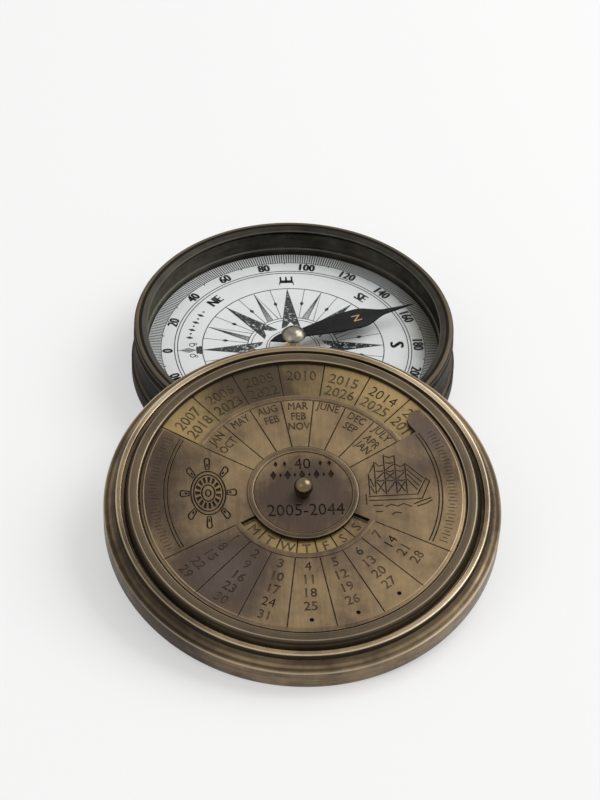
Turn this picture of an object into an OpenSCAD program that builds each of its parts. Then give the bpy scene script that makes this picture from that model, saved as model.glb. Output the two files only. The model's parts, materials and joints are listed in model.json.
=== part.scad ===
// Calendar compass: a round brass compass box and its loose lid, which carries
// a perpetual calendar. The box stands on its flat bottom, centred on the origin.
// The lid has been taken off and leans in front, its mouth on the box's rim and
// its front edge on the table. Millimetres, +Z up, the front is -Y.

/* [Case] */
// Diameter of the foot, the widest part of the compass box
case_d = 69.6; // [64:0.2:76]
// Height of the compass box from the table to its rim
case_h = 13.2; // [12.6:0.1:16]
// Thickness of the floor under the dial
floor_t = 4.9; // [3.6:0.1:5.4]
// How far the rim stands in from the foot
rim_inset = 0.6; // [0.4:0.1:1]
// Thickness of the wall at the rim
rim_wall = 1.35; // [1.1:0.05:1.8]
// Height of the foot band below the plain wall
foot_h = 4.4; // [3.6:0.1:5]
// Width of the bead that runs round below the rim
case_bead_d = 1.7; // [1.4:0.1:2]
// Chamfer round the underside
foot_chamfer = 0.5; // [0.3:0.1:0.8]

/* [Dial] */
// Thickness of the plate that backs the dial
dial_plate_t = 0.8; // [0.6:0.1:1]
// Thickness of the printed card
dial_card_t = 0.3; // [0.2:0.05:0.4]
// Height of the ring that clamps the card's edge
dial_ring_h = 1.6; // [1.2:0.1:2]
// Radial width of that ring
dial_ring_w = 1.55; // [1.3:0.05:1.8]
// Wall of the tube that carries the glass
spacer_wall = 1; // [0.8:0.05:1.2]
// Thickness of the glass
glass_t = 0.9; // [0.7:0.05:1.1]
// Height of the bevelled ring that holds the glass in
retainer_h = 0.7; // [0.6:0.05:0.9]
// Radial width of the bevelled ring
retainer_w = 1.5; // [1.3:0.05:1.8]

/* [Needle] */
// Length from the pivot to the north tip
needle_reach = 28.2; // [24:0.2:28.6]
// Length from the pivot to the tail
needle_tail = 5.4; // [4.4:0.2:18]
// Distance from the pivot to the blade's widest place
needle_wide_at = 15.4; // [12:0.2:17]
// Width of the blade beside its cap
needle_waist = 2.6; // [1.8:0.1:3]
// Greatest width of the blade
needle_w = 5.8; // [4:0.1:6.4]
// Distance from the pivot to where the blade narrows to a spike
spike_at = 22.2; // [20:0.2:23]
// Width of the spike where it starts
spike_w = 1.2; // [0.8:0.1:1.6]
// Thickness of the blade
needle_t = 0.45; // [0.35:0.05:0.6]
// Direction that the north tip points, counted from +X
needle_heading = 24.4; // [0:0.1:360]
// Diameter of the domed cap
cap_d = 5.4; // [4.6:0.1:6]
// Height of the dome above the blade
cap_rise = 1.5; // [1.2:0.05:1.7]
// Diameter of the blade's round middle, under the cap
hub_d = 4.8; // [4.2:0.1:5.4]
// Diameter of the pivot pin
pin_d = 1.1; // [0.9:0.05:1.3]
// Diameter of the bush that holds the pin
pin_bush_d = 4; // [3:0.1:5]

/* [Lid] */
// Wall of the lid at its mouth
lid_wall = 4.8; // [4.2:0.1:5.6]
// Height of the lid's plain outer band
band_h = 5.2; // [4.8:0.1:6]
// Radius of the hollow shoulder above the band
cove_r = 2; // [1.7:0.1:2.2]
// Rounding of the band's top and bottom edges
band_edge = 0.3; // [0.2:0.05:0.5]
// Width of the flat rib above the shoulder
rib_w = 1.2; // [1:0.1:1.4]
// Height of the rib above the shoulder
rib_rise = 0.7; // [0.5:0.05:0.8]
// Depth of the mouth, down to the ledge that sits on the rim
mouth_depth = 3.4; // [2.8:0.1:3.8]
// Depth of the hollow inside the lid
hollow_depth = 5.6; // [5.2:0.1:5.8]
// Radial width of the ledge inside the mouth
ledge_w = 2; // [1.6:0.1:2.4]
// Where the lid's mouth meets the rim, as an angle either side of the lid's back
lean_contact = 37.5; // [32:0.5:42]
// How far round the lid has been laid, counted from the front
lean_turn = 3.3; // [-10:0.1:10]

/* [Calendar] */
// Width of the valley inside the rib
valley_w = 0.5; // [0.4:0.05:0.8]
// How far the surround's sloping flank spreads, down to the valley
flank_w = 1.05; // [0.8:0.05:1.3]
// Thickness of the turning plate
plate_t = 0.8; // [0.6:0.05:1]
// Thickness of the fixed year plate
year_plate_t = 0.8; // [0.6:0.05:1]
// Radial gap between the turning plate and its surround
plate_gap = 0.4; // [0.3:0.05:0.6]
// Radial width of the surround
surround_w = 1.85; // [1.6:0.05:2.1]
// Bevel on the surround's two upper edges
surround_bevel = 0.2; // [0.1:0.05:0.3]
// How far the surround stands above the turning plate
surround_proud = 0.1; // [0:0.05:0.2]
// Radial width of the bevel round the turning plate
plate_bevel_w = 0.7; // [0.4:0.05:0.9]
// Height of that bevel
plate_bevel_h = 0.4; // [0.2:0.05:0.5]
// Turn of the plate away from square
plate_turn = 1.6; // [-60:0.1:60]
// Depth of the year window, in from the plate's edge
year_w = 8.6; // [8:0.1:9.6]
// Half the angle that the pictures and dates leave to the year window
year_half = 59; // [54:0.2:62]
// Width of the thumb tab, in from the plate's edge
tab_w = 5; // [4.6:0.1:6]
// How far the tab's round end stands out past the tab
tab_swell = 0.12; // [0.05:0.01:0.2]
// Angle that the thumb tab reaches into the year window
tab_reach = 8.6; // [7:0.1:12]
// Inner radius of the weekday window
weekday_r = 11.1; // [10.6:0.1:12]
// Radial width of the weekday window
weekday_w = 3.5; // [2.8:0.1:3.8]
// Half the angle of the weekday window and of the dates below it
weekday_half = 62; // [54:0.5:64]
// Radius of the small dots drilled below the dates
dot_r = 0.45; // [0.3:0.05:0.6]

/* [Spindle] */
// Diameter of the ball knob
ball_d = 3.9; // [3.4:0.1:4.6]
// Diameter of the spindle
spindle_d = 2.4; // [2:0.1:2.8]
// Outside diameter of the bush in the lid
spindle_bush_d = 4.4; // [3.8:0.1:5]
// Diameter of the bush's flange
flange_d = 7.2; // [6.2:0.1:8]
// Thickness of the bush's flange
flange_t = 0.4; // [0.3:0.05:0.5]
// Thickness of the friction washer
washer_t = 0.3; // [0.2:0.05:0.4]
// Thickness of the riveted collar
collar_t = 0.5; // [0.4:0.05:0.6]

/* [Details] */
// Rounding of the rim's outer edge
rim_round = 0.4; // [0.2:0.05:0.6]
// Height of the rim band above the groove
rim_band_h = 1.3; // [1:0.1:1.6]
// Depth of the groove below the rim
groove_depth = 0.5; // [0.3:0.05:0.7]
// Height of the groove below the rim
groove_h = 0.7; // [0.5:0.05:0.9]
// How far the plain wall stands in from the rim
wall_inset = 0.15; // [0.1:0.05:0.3]
// How far a bead stands out past the surface beside it
bead_proud = 0.25; // [0.1:0.05:0.35]
// Height of the sloping line on top of the foot
foot_slope_h = 0.5; // [0.3:0.05:0.8]
// Small bevel on the clamping ring's inner edge
ring_bevel = 0.25; // [0.1:0.05:0.4]
// Upright part of the bevelled ring's inner edge
retainer_lip = 0.2; // [0.1:0.05:0.3]
// Flat part on top of the bevelled ring
retainer_land = 0.3; // [0.2:0.05:0.5]
// How far the bevelled ring lies below the rim
retainer_drop = 0.05; // [0:0.05:0.15]
// How far the cap's neck reaches below the blade
cap_skirt = 0.9; // [0.6:0.05:1.1]
// Wall of the cap's neck round the stone
cap_wall = 0.4; // [0.3:0.05:0.5]
// Diameter of the bearing stone
jewel_d = 2.6; // [2.2:0.1:3]
// Thickness of the bearing stone
jewel_t = 1.1; // [0.9:0.05:1.3]
// Radius of the cup in the stone
cup_r = 0.45; // [0.35:0.05:0.55]
// Radius of the pin's point
pin_tip_r = 0.2; // [0.1:0.05:0.25]
// Length of the pin's taper
pin_cone_h = 1.6; // [1.2:0.1:2]
// How deep the bush sits in the floor
pin_bush_depth = 2.2; // [1.6:0.1:2.6]
// How far the bush stands above the card
pin_bush_rise = 0.6; // [0.4:0.05:0.8]
// Thickness of the bush below the pin
pin_bush_floor = 0.6; // [0.4:0.05:0.8]
// Step of the bush at the card
pin_bush_step = 0.5; // [0.3:0.05:0.6]
// Height of the raised borders on the turning plate
border_h = 0.15; // [0.1:0.05:0.25]
// Width of the raised borders on the turning plate
border_w = 1.1; // [0.8:0.05:1.4]
// How far the drilled dots lie in from the plate's edge
dot_inset = 2.5; // [1.8:0.1:3]
// Step between the hollow shoulder and the rib
rib_step = 0.1; // [0.05:0.05:0.2]
// Bevel on the rib's two upper edges
rib_edge = 0.15; // [0.1:0.05:0.25]
// Depth of the valley below the shoulder's upper edge
valley_drop = 0.2; // [0.1:0.05:0.3]
// Height of the recess floor above the valley
recess_rise = 0.35; // [0.2:0.05:0.5]
// Wall round the recess, below the surround
recess_wall = 0.6; // [0.4:0.05:0.8]
// Diameter of the friction washer
washer_d = 6.4; // [5.4:0.1:7]
// Diameter of the riveted collar
collar_d = 5.2; // [4.6:0.1:6]
// Length of spindle below the collar
rivet_h = 0.4; // [0.2:0.05:0.5]
// Height of the knob's neck
knob_neck_h = 0.5; // [0.3:0.05:0.7]
// How far the knob's neck stands out past the spindle
knob_neck_step = 0.35; // [0.2:0.05:0.5]

/* [Fits] */
// Radial clearance of pieces that are set in a seat
seat_fit = 0.03; // [0.02:0.01:0.05]
// Radial clearance of turning shafts
run_fit = 0.05; // [0.02:0.01:0.08]
// Radial clearance of the spindle through the fixed year plate
spindle_clear = 0.3; // [0.2:0.05:0.5]
// Gap between faces that slide on each other
slide_gap = 0.05; // [0.03:0.01:0.08]
// Gap between the needle's cap and the glass
cap_clear = 0.25; // [0.2:0.05:0.4]
// Radial clearance of the lid over the foot
lid_fit = 0.4; // [0.3:0.05:0.6]
// Gap between the leaning lid and the rim
lean_gap = 0.05; // [0.03:0.01:0.1]

/* [Hidden] */
$fn = 96;

// Case radii, from the outside in
foot_r = case_d / 2;
rim_r = foot_r - rim_inset;
wall_r = rim_r - wall_inset;
bore_r = rim_r - rim_wall;
case_bead_r = wall_r + bead_proud - case_bead_d / 2;

// Case heights, from the floor up
plate_top = floor_t + dial_plate_t;
dial_top = plate_top + dial_card_t;
dial_ring_top = dial_top + dial_ring_h;
glass_top = case_h - retainer_drop - retainer_h;
glass_bottom = glass_top - glass_t;
stack_r = bore_r - seat_fit;
groove_z = case_h - rim_band_h - groove_h;
bead_z = groove_z - case_bead_d / 2;

// Needle and pivot heights, down from the glass
cap_top = glass_bottom - cap_clear;
needle_top = cap_top - cap_rise;
needle_z = needle_top - needle_t;
cap_neck_r = jewel_d / 2 + cap_wall;
cap_bottom = needle_z - cap_skirt;
dome_r = (pow(cap_d / 2, 2) + pow(cap_rise, 2)) / (2 * cap_rise);
jewel_top = needle_top + jewel_t / 2;
jewel_bottom = jewel_top - jewel_t;
cup_mouth_r = (cup_r + jewel_d / 2) / 2;
pin_tip_z = needle_top;
pin_r = pin_d / 2;
pin_bush_z = floor_t - pin_bush_depth;
pin_z = pin_bush_z + pin_bush_floor;

// Lid radii and heights, in the lid's own frame with its mouth at z = 0
mouth_r = foot_r + lid_fit;
lid_r = mouth_r + lid_wall;
hollow_r = mouth_r - ledge_w;
cove_top = band_h + cove_r;
rib_out = lid_r - band_edge - cove_r - rib_step;
rib_in = rib_out - rib_w;
rib_top = cove_top + rib_rise;
valley_in = rib_in - valley_w;
valley_z = cove_top - valley_drop;
surround_out = valley_in - flank_w;
surround_in = surround_out - surround_w;
plate_r = surround_in - plate_gap;
recess_z = valley_z + recess_rise;
recess_r = surround_out - recess_wall;
year_top = recess_z + year_plate_t;
plate_z = year_top + slide_gap;
plate_top_z = plate_z + plate_t;
surround_top = plate_top_z + surround_proud;
function flank_r(z) = valley_in - flank_w * (z - valley_z) / (surround_top - valley_z);

// Spindle heights, down through the lid
spindle_r = spindle_d / 2;
flange_z = hollow_depth - flange_t;
washer_z = flange_z - slide_gap - washer_t;
collar_z = washer_z - collar_t;
rivet_z = collar_z - rivet_h;
knob_neck_r = spindle_r + knob_neck_step;

// Calendar plate radii and angles, about the plate's own centre
year_r = plate_r - year_w;
tab_r = plate_r - tab_w;
tab_mid_r = (tab_r + plate_r) / 2;
tab_half_w = (plate_r - tab_r) / 2;
date_columns = 7;
date_step = 2 * weekday_half / date_columns;
window_from = 90 - year_half;
window_to = 90 + year_half;
weekday_from = 270 - weekday_half;
weekday_to = 270 + weekday_half;
weekday_out = weekday_r + weekday_w;
tab_end = window_from + tab_reach - asin(tab_half_w / tab_mid_r);
overcut = 1;

// The lean: the lid's lower edge stands on the table, and the edge of its mouth
// meets the rim's outer edge at two points, lean_contact either side of its back
lean_span = lid_r - band_edge + mouth_r * cos(lean_contact);
lean = asin((case_h + lean_gap) / lean_span);
contact_x = mouth_r * sin(lean_contact);
contact_y = -sqrt(rim_r * rim_r - contact_x * contact_x);
lid_y = contact_y - mouth_r * cos(lean_contact) * cos(lean);
lid_z = (lid_r - band_edge) * sin(lean);

// Finishes
BRONZE = [0.29, 0.23, 0.16];
BRASS = [0.45, 0.36, 0.22];
OLD_BRASS = [0.36, 0.30, 0.21];
GREY_BRASS = [0.34, 0.31, 0.27];
PALE_BRASS = [0.70, 0.64, 0.48];
BLACK = [0.07, 0.07, 0.07];
STEEL = [0.55, 0.56, 0.58];
CARD = [0.92, 0.93, 0.93];

// Places what is drawn in the lid's own frame where the lid leans
module on_lid() {
    rotate([0, 0, lean_turn])
        translate([0, lid_y, lid_z])
            rotate([lean, 0, 0])
                children();
}

// A flat ring from one radius to another, standing on z
module ring(inner, outer, z, height) {
    translate([0, 0, z])
        linear_extrude(height)
            difference() {
                circle(r = outer);
                circle(r = inner);
            }
}

// A wedge from one angle to another, wide enough to reach past the plate
module wedge(from, to) {
    reach = 2 * plate_r;
    steps = 8;
    polygon(concat(
        [[0, 0]],
        [for (i = [0:steps]) reach * [cos(from + (to - from) * i / steps), sin(from + (to - from) * i / steps)]]
    ));
}

// An arc-shaped area between two radii and two angles
module sector(inner, outer, from, to) {
    intersection() {
        difference() {
            circle(r = outer);
            circle(r = inner);
        }
        wedge(from, to);
    }
}

// The compass box: a turned cup with a foot, a plain wall, a bead and a rim
module case_body() {
    color(BRONZE)
    rotate_extrude()
        difference() {
            union() {
                polygon([
                    [0, 0],
                    [foot_r - foot_chamfer, 0],
                    [foot_r, foot_chamfer],
                    [foot_r, foot_h - foot_slope_h],
                    [wall_r, foot_h],
                    [wall_r, groove_z],
                    [rim_r - groove_depth, groove_z + groove_h / 3],
                    [rim_r - groove_depth, groove_z + groove_h * 2 / 3],
                    [rim_r, case_h - rim_band_h],
                    [rim_r, case_h - rim_round],
                    [rim_r - rim_round, case_h],
                    [0, case_h],
                ]);
                translate([case_bead_r, bead_z])
                    circle(d = case_bead_d);
            }
            translate([0, floor_t])
                square([bore_r, case_h]);
            translate([0, pin_bush_z])
                square([pin_bush_d / 2 + seat_fit, case_h]);
        }
}

// Bush pressed into the floor, flush with the card, that holds the pin upright
module pivot_bush() {
    color(OLD_BRASS)
    rotate_extrude()
        difference() {
            union() {
                translate([0, pin_bush_z])
                    square([pin_bush_d / 2, dial_top - pin_bush_z]);
                translate([0, dial_top])
                    square([pin_bush_d / 2 - pin_bush_step, pin_bush_rise]);
            }
            translate([0, pin_z])
                square([pin_r + seat_fit, case_h]);
        }
}

// Steel pin with a fine point, on which the needle swings
module pivot_pin() {
    color(STEEL)
    rotate_extrude()
        polygon([
            [0, pin_z],
            [pin_r, pin_z],
            [pin_r, pin_tip_z - pin_cone_h],
            [pin_tip_r, pin_tip_z],
            [0, pin_tip_z],
        ]);
}

// Thin metal disc that backs the printed card
module dial_plate() {
    color(OLD_BRASS)
    ring(pin_bush_d / 2 + seat_fit, stack_r, floor_t, dial_plate_t);
}

// Printed compass card
module dial_card() {
    color(CARD)
    ring(pin_bush_d / 2 + seat_fit, stack_r, plate_top, dial_card_t);
}

// Ring that clamps the edge of the card
module dial_ring() {
    color(BRONZE)
    rotate_extrude()
        polygon([
            [stack_r - dial_ring_w, dial_top],
            [stack_r, dial_top],
            [stack_r, dial_ring_top],
            [stack_r - dial_ring_w + ring_bevel, dial_ring_top],
            [stack_r - dial_ring_w, dial_ring_top - ring_bevel],
        ]);
}

// Tube between the clamping ring and the glass
module glass_spacer() {
    color(BRONZE)
    ring(stack_r - spacer_wall, stack_r, dial_ring_top, glass_bottom - dial_ring_top);
}

// Flat glass
module glass() {
    color([0.85, 0.9, 0.9, 0.3])
    translate([0, 0, glass_bottom])
        cylinder(r = stack_r, h = glass_t);
}

// Ring with a bevelled inner edge that holds the glass in the rim
module retaining_ring() {
    color(BLACK)
    rotate_extrude()
        polygon([
            [stack_r - retainer_w, glass_top],
            [stack_r, glass_top],
            [stack_r, glass_top + retainer_h],
            [stack_r - retainer_land, glass_top + retainer_h],
            [stack_r - retainer_w, glass_top + retainer_lip],
        ]);
}

// Outline of the needle: a leaf that narrows to a spike at the north tip, and a
// plain tapered tail
module needle_outline() {
    neck = cap_d / 2;
    steps = 8;
    narrowing = [for (i = [steps:-1:1]) [
        needle_wide_at + (spike_at - needle_wide_at) * i / steps,
        (spike_w + (needle_w - spike_w) * (1 + cos(180 * i / steps)) / 2) / 2
    ]];
    swell = [for (i = [steps:-1:0]) [
        neck + (needle_wide_at - neck) * i / steps,
        (needle_waist + (needle_w - needle_waist) * sin(90 * i / steps)) / 2
    ]];
    side = concat(narrowing, swell, [[-neck, needle_waist / 2]]);
    other = [for (i = [len(side) - 1:-1:0]) [side[i].x, -side[i].y]];
    polygon(concat([[needle_reach, 0]], side, [[-needle_tail, 0]], other));
}

// Blued steel needle, bored to take its cap
module needle() {
    color(BLACK)
    rotate([0, 0, needle_heading])
        translate([0, 0, needle_z])
            linear_extrude(needle_t)
                difference() {
                    union() {
                        needle_outline();
                        circle(d = hub_d);
                    }
                    circle(r = cap_neck_r + seat_fit);
                }
}

// Domed brass cap that sits through the needle and carries the jewel
module needle_cap() {
    color(PALE_BRASS)
    rotate_extrude()
        difference() {
            union() {
                intersection() {
                    translate([0, cap_top - dome_r])
                        circle(r = dome_r);
                    translate([0, needle_top])
                        square([cap_d / 2, cap_rise]);
                }
                translate([0, cap_bottom])
                    square([cap_neck_r, jewel_top - cap_bottom]);
            }
            translate([0, cap_bottom])
                square([jewel_d / 2 + seat_fit, jewel_top - cap_bottom]);
        }
}

// Bearing stone inside the cap, with a cup for the pin's point
module needle_jewel() {
    color([0.6, 0.12, 0.2])
    rotate_extrude()
        polygon([
            [0, jewel_top],
            [jewel_d / 2, jewel_top],
            [jewel_d / 2, jewel_bottom],
            [cup_mouth_r, jewel_bottom],
            [cup_r, pin_tip_z + run_fit],
            [0, pin_tip_z + run_fit],
        ]);
}

// The lid: a turned shell with a plain band, a hollow shoulder and a flat rib,
// a hollow mouth below and a recess above for the calendar
module lid_shell() {
    color(BRASS)
    on_lid()
        rotate_extrude()
            difference() {
                polygon([
                    [0, 0],
                    [lid_r - band_edge, 0],
                    [lid_r, band_edge],
                    [lid_r, band_h - band_edge],
                    [lid_r - band_edge, band_h],
                    [lid_r - band_edge, cove_top],
                    [rib_out, cove_top],
                    [rib_out, rib_top - rib_edge],
                    [rib_out - rib_edge, rib_top],
                    [rib_in + rib_edge, rib_top],
                    [rib_in, rib_top - rib_edge],
                    [rib_in, valley_z],
                    [valley_in, valley_z],
                    [flank_r(year_top), year_top],
                    [0, year_top],
                ]);
                translate([lid_r - band_edge, cove_top])
                    circle(r = cove_r);
                square([mouth_r, mouth_depth]);
                square([hollow_r, hollow_depth]);
                square([spindle_bush_d / 2 + seat_fit, lid_r]);
                translate([0, recess_z])
                    square([recess_r, lid_r]);
            }
}

// Flanged bush in the middle of the lid, in which the spindle turns
module spindle_bush() {
    color(OLD_BRASS)
    on_lid() {
        ring(spindle_r + run_fit, flange_d / 2, flange_z, flange_t);
        ring(spindle_r + run_fit, spindle_bush_d / 2, hollow_depth, recess_z - hollow_depth);
    }
}

// Fixed plate that carries the years and the weekdays
module year_plate() {
    color(BRASS)
    on_lid()
        ring(spindle_r + spindle_clear, recess_r - seat_fit, recess_z, year_plate_t);
}

// Flat ring round the calendar, seated on the lid and on the year plate's edge
module plate_surround() {
    color(GREY_BRASS)
    on_lid()
        rotate_extrude()
            polygon([
                [surround_in, year_top],
                [flank_r(year_top), year_top],
                [flank_r(surround_top - surround_bevel), surround_top - surround_bevel],
                [surround_out - surround_bevel, surround_top],
                [surround_in + surround_bevel, surround_top],
                [surround_in, surround_top - surround_bevel],
            ]);
}

// Blank for the turning plate: a disc with a bevelled edge
module calendar_blank() {
    rotate_extrude()
        polygon([
            [0, plate_z],
            [plate_r, plate_z],
            [plate_r, plate_top_z - plate_bevel_h],
            [plate_r - plate_bevel_w, plate_top_z],
            [0, plate_top_z],
        ]);
}

// What is left of the blank beside the windows, with the thumb tab
module calendar_outline() {
    difference() {
        circle(r = plate_r + overcut);
        difference() {
            sector(year_r, plate_r + 2 * overcut, window_from, window_to);
            sector(tab_r, plate_r + 3 * overcut, window_from - overcut, tab_end);
            translate(tab_mid_r * [cos(tab_end), sin(tab_end)])
                circle(r = tab_half_w + tab_swell);
        }
        sector(weekday_r, weekday_out, weekday_from, weekday_to);
        circle(r = spindle_r + seat_fit);
    }
}

// Raised borders: round the middle, and along the inner edge of each window
module calendar_borders() {
    difference() {
        circle(r = weekday_r);
        circle(r = weekday_r - border_w);
    }
    sector(year_r - border_w, year_r, window_from, window_to);
    sector(weekday_out, weekday_out + border_w, weekday_from, weekday_to);
}

// Turning plate with the months and dates, its two windows and the drilled dots
module calendar_plate() {
    color(BRASS)
    on_lid()
        rotate([0, 0, plate_turn])
            difference() {
                union() {
                    intersection() {
                        calendar_blank();
                        translate([0, 0, plate_z - overcut])
                            linear_extrude(plate_t + 2 * overcut)
                                calendar_outline();
                    }
                    translate([0, 0, plate_top_z])
                        linear_extrude(border_h)
                            calendar_borders();
                }
                for (column = [0:2])
                    rotate([0, 0, 270 + column * date_step])
                        translate([plate_r - dot_inset, 0, plate_z + plate_t / 2])
                            cylinder(r = dot_r, h = plate_t);
            }
}

// Ball knob with the spindle below it, riveted under the lid
module knob() {
    color(PALE_BRASS)
    on_lid() {
        translate([0, 0, rivet_z])
            cylinder(r = spindle_r, h = plate_top_z - rivet_z);
        translate([0, 0, plate_top_z])
            cylinder(r = knob_neck_r, h = knob_neck_h);
        difference() {
            translate([0, 0, plate_top_z + ball_d / 2])
                sphere(d = ball_d);
            translate([0, 0, plate_top_z - ball_d])
                cylinder(r = ball_d, h = ball_d);
        }
    }
}

// Washer that keeps the plate from turning by itself
module friction_washer() {
    color(STEEL)
    on_lid()
        ring(spindle_r + seat_fit, washer_d / 2, washer_z, washer_t);
}

// Collar that the spindle's end is riveted over
module rivet_collar() {
    color(OLD_BRASS)
    on_lid()
        ring(spindle_r + seat_fit, collar_d / 2, collar_z, collar_t);
}

case_body();
pivot_bush();
pivot_pin();
dial_plate();
dial_card();
dial_ring();
glass_spacer();
glass();
retaining_ring();
needle();
needle_cap();
needle_jewel();
lid_shell();
spindle_bush();
year_plate();
plate_surround();
calendar_plate();
knob();
friction_washer();
rivet_collar();
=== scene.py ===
"""Dressed model of a calendar compass.

An aged brass compass box with a printed card, and its loose lid, which carries an
engraved perpetual calendar. Sizes are in millimetres until a mesh is placed.
"""
import json
import logging
import math
from dataclasses import dataclass, replace
from enum import Enum
from typing import Any, Iterable, Sequence

import bmesh
import bpy
from mathutils import Euler, Matrix, Vector

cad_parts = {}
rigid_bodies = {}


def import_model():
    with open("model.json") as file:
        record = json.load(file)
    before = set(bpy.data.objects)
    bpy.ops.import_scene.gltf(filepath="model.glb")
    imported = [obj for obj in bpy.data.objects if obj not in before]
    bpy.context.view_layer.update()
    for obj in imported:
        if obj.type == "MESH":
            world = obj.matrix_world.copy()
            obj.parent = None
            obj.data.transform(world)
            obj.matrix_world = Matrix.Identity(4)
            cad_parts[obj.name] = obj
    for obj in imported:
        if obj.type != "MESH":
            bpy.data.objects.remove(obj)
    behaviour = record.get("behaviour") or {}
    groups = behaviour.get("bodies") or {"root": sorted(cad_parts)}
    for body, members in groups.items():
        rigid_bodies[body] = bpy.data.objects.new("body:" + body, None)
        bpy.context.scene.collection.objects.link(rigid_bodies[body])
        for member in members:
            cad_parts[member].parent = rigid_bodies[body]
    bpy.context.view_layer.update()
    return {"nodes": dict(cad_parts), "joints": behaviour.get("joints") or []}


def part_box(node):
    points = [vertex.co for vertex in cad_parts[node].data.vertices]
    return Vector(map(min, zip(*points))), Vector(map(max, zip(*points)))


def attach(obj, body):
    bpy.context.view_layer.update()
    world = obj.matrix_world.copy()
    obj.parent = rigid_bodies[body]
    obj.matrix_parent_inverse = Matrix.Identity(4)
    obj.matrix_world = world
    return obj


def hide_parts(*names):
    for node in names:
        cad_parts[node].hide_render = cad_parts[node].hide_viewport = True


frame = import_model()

LOG = logging.getLogger("calendar_compass")
MM = 0.001
LATHE_STEPS = 240
MERGE = 1e-4
WEEK = 7
LAST_DAY = 31
# A type size to the height of its figures.
TYPE_SIZE = 1.38
# How far a print sinks into its face, and a cutter stands out of it.
OVERLAP = 0.02
# Depth of the flat floor of engraved figures, of deeper work, and the spread of their sides.
CUT = 0.14
DEEP_CUT = 0.2
CUT_SLOPE = 0.09

Point = tuple[float, float]
Triple = tuple[float, float, float]
Rgb = Triple
Outline = list[Point]
Profile = list[tuple[float, ...]]


class Grain(Enum):
    """The way a metal face was finished."""

    TURNED = "rings round the axis"
    STRAIGHT = "straight strokes"


@dataclass(frozen=True)
class Place:
    """Where a sub-assembly's own frame lies in the shared frame."""

    origin: Triple = (0.0, 0.0, 0.0)
    lean: float = 0.0
    turn: float = 0.0
    spin: float = 0.0

    @property
    def matrix(self) -> Matrix:
        """The place as a matrix, in metres."""
        tilt = Euler((self.lean, 0.0, self.turn)).to_matrix().to_4x4()
        return Matrix.Translation(self.origin) @ tilt @ Matrix.Rotation(self.spin, 4, "Z")

    def spun(self, degrees: float) -> "Place":
        """The same place, turned about its own axis."""
        return replace(self, spin=self.spin + math.radians(degrees))


def lid_place() -> Place:
    """Reads the leaning lid's frame from the joint that its calendar turns on.

    Returns:
        The lid's place, with its mouth at z = 0.
    """
    joint = next(j for j in frame["joints"] if j["name"] == "calendar_turn")
    axis = Vector(joint["axis"]).normalized()
    lean = axis.angle(Vector((0.0, 0.0, 1.0)))
    return Place(tuple(joint["pos_m"]), lean, math.atan2(axis.x, -axis.y))


BOX_PLACE = Place()
LID_PLACE = lid_place()


class Value:
    """One socket, with arithmetic that adds Math nodes."""

    def __init__(self, shader: "Shader", socket: bpy.types.NodeSocket) -> None:
        """Wraps an output of a shader's node."""
        self.shader = shader
        self.socket = socket

    def _math(self, operation: str, *terms: "Value | float") -> "Value":
        """Adds one Math node on the terms."""
        inputs = dict(enumerate(terms))
        return self.shader.node("ShaderNodeMath", {"operation": operation}, inputs).out()

    def __add__(self, other: "Value | float") -> "Value":
        """self + other."""
        return self._math("ADD", self, other)

    def __sub__(self, other: "Value | float") -> "Value":
        """self - other."""
        return self._math("SUBTRACT", self, other)

    def __rsub__(self, other: float) -> "Value":
        """other - self."""
        return self._math("SUBTRACT", other, self)

    def __mul__(self, other: "Value | float") -> "Value":
        """self * other."""
        return self._math("MULTIPLY", self, other)

    __radd__ = __add__
    __rmul__ = __mul__

    def root(self) -> "Value":
        """Square root."""
        return self._math("SQRT", self)

    def size(self) -> "Value":
        """Value without its sign."""
        return self._math("ABSOLUTE", self)

    def ramp(self, start: float, end: float) -> "Value":
        """Rises smoothly from 0 at start to 1 at end.

        Args:
            start: Where the rise begins.
            end: Where the rise is complete; below start for a fall.

        Returns:
            The smooth step.
        """
        settings = {"interpolation_type": "SMOOTHSTEP"}
        inputs = {"Value": self, "From Min": start, "From Max": end}
        return self.shader.node("ShaderNodeMapRange", settings, inputs).out()


class Made:
    """A node that has been added, for reading its outputs."""

    def __init__(self, shader: "Shader", node: bpy.types.Node) -> None:
        """Wraps a node of a shader."""
        self.shader = shader
        self.node = node

    def out(self, name: str | int = 0) -> Value:
        """One output."""
        return Value(self.shader, self.node.outputs[name])


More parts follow.
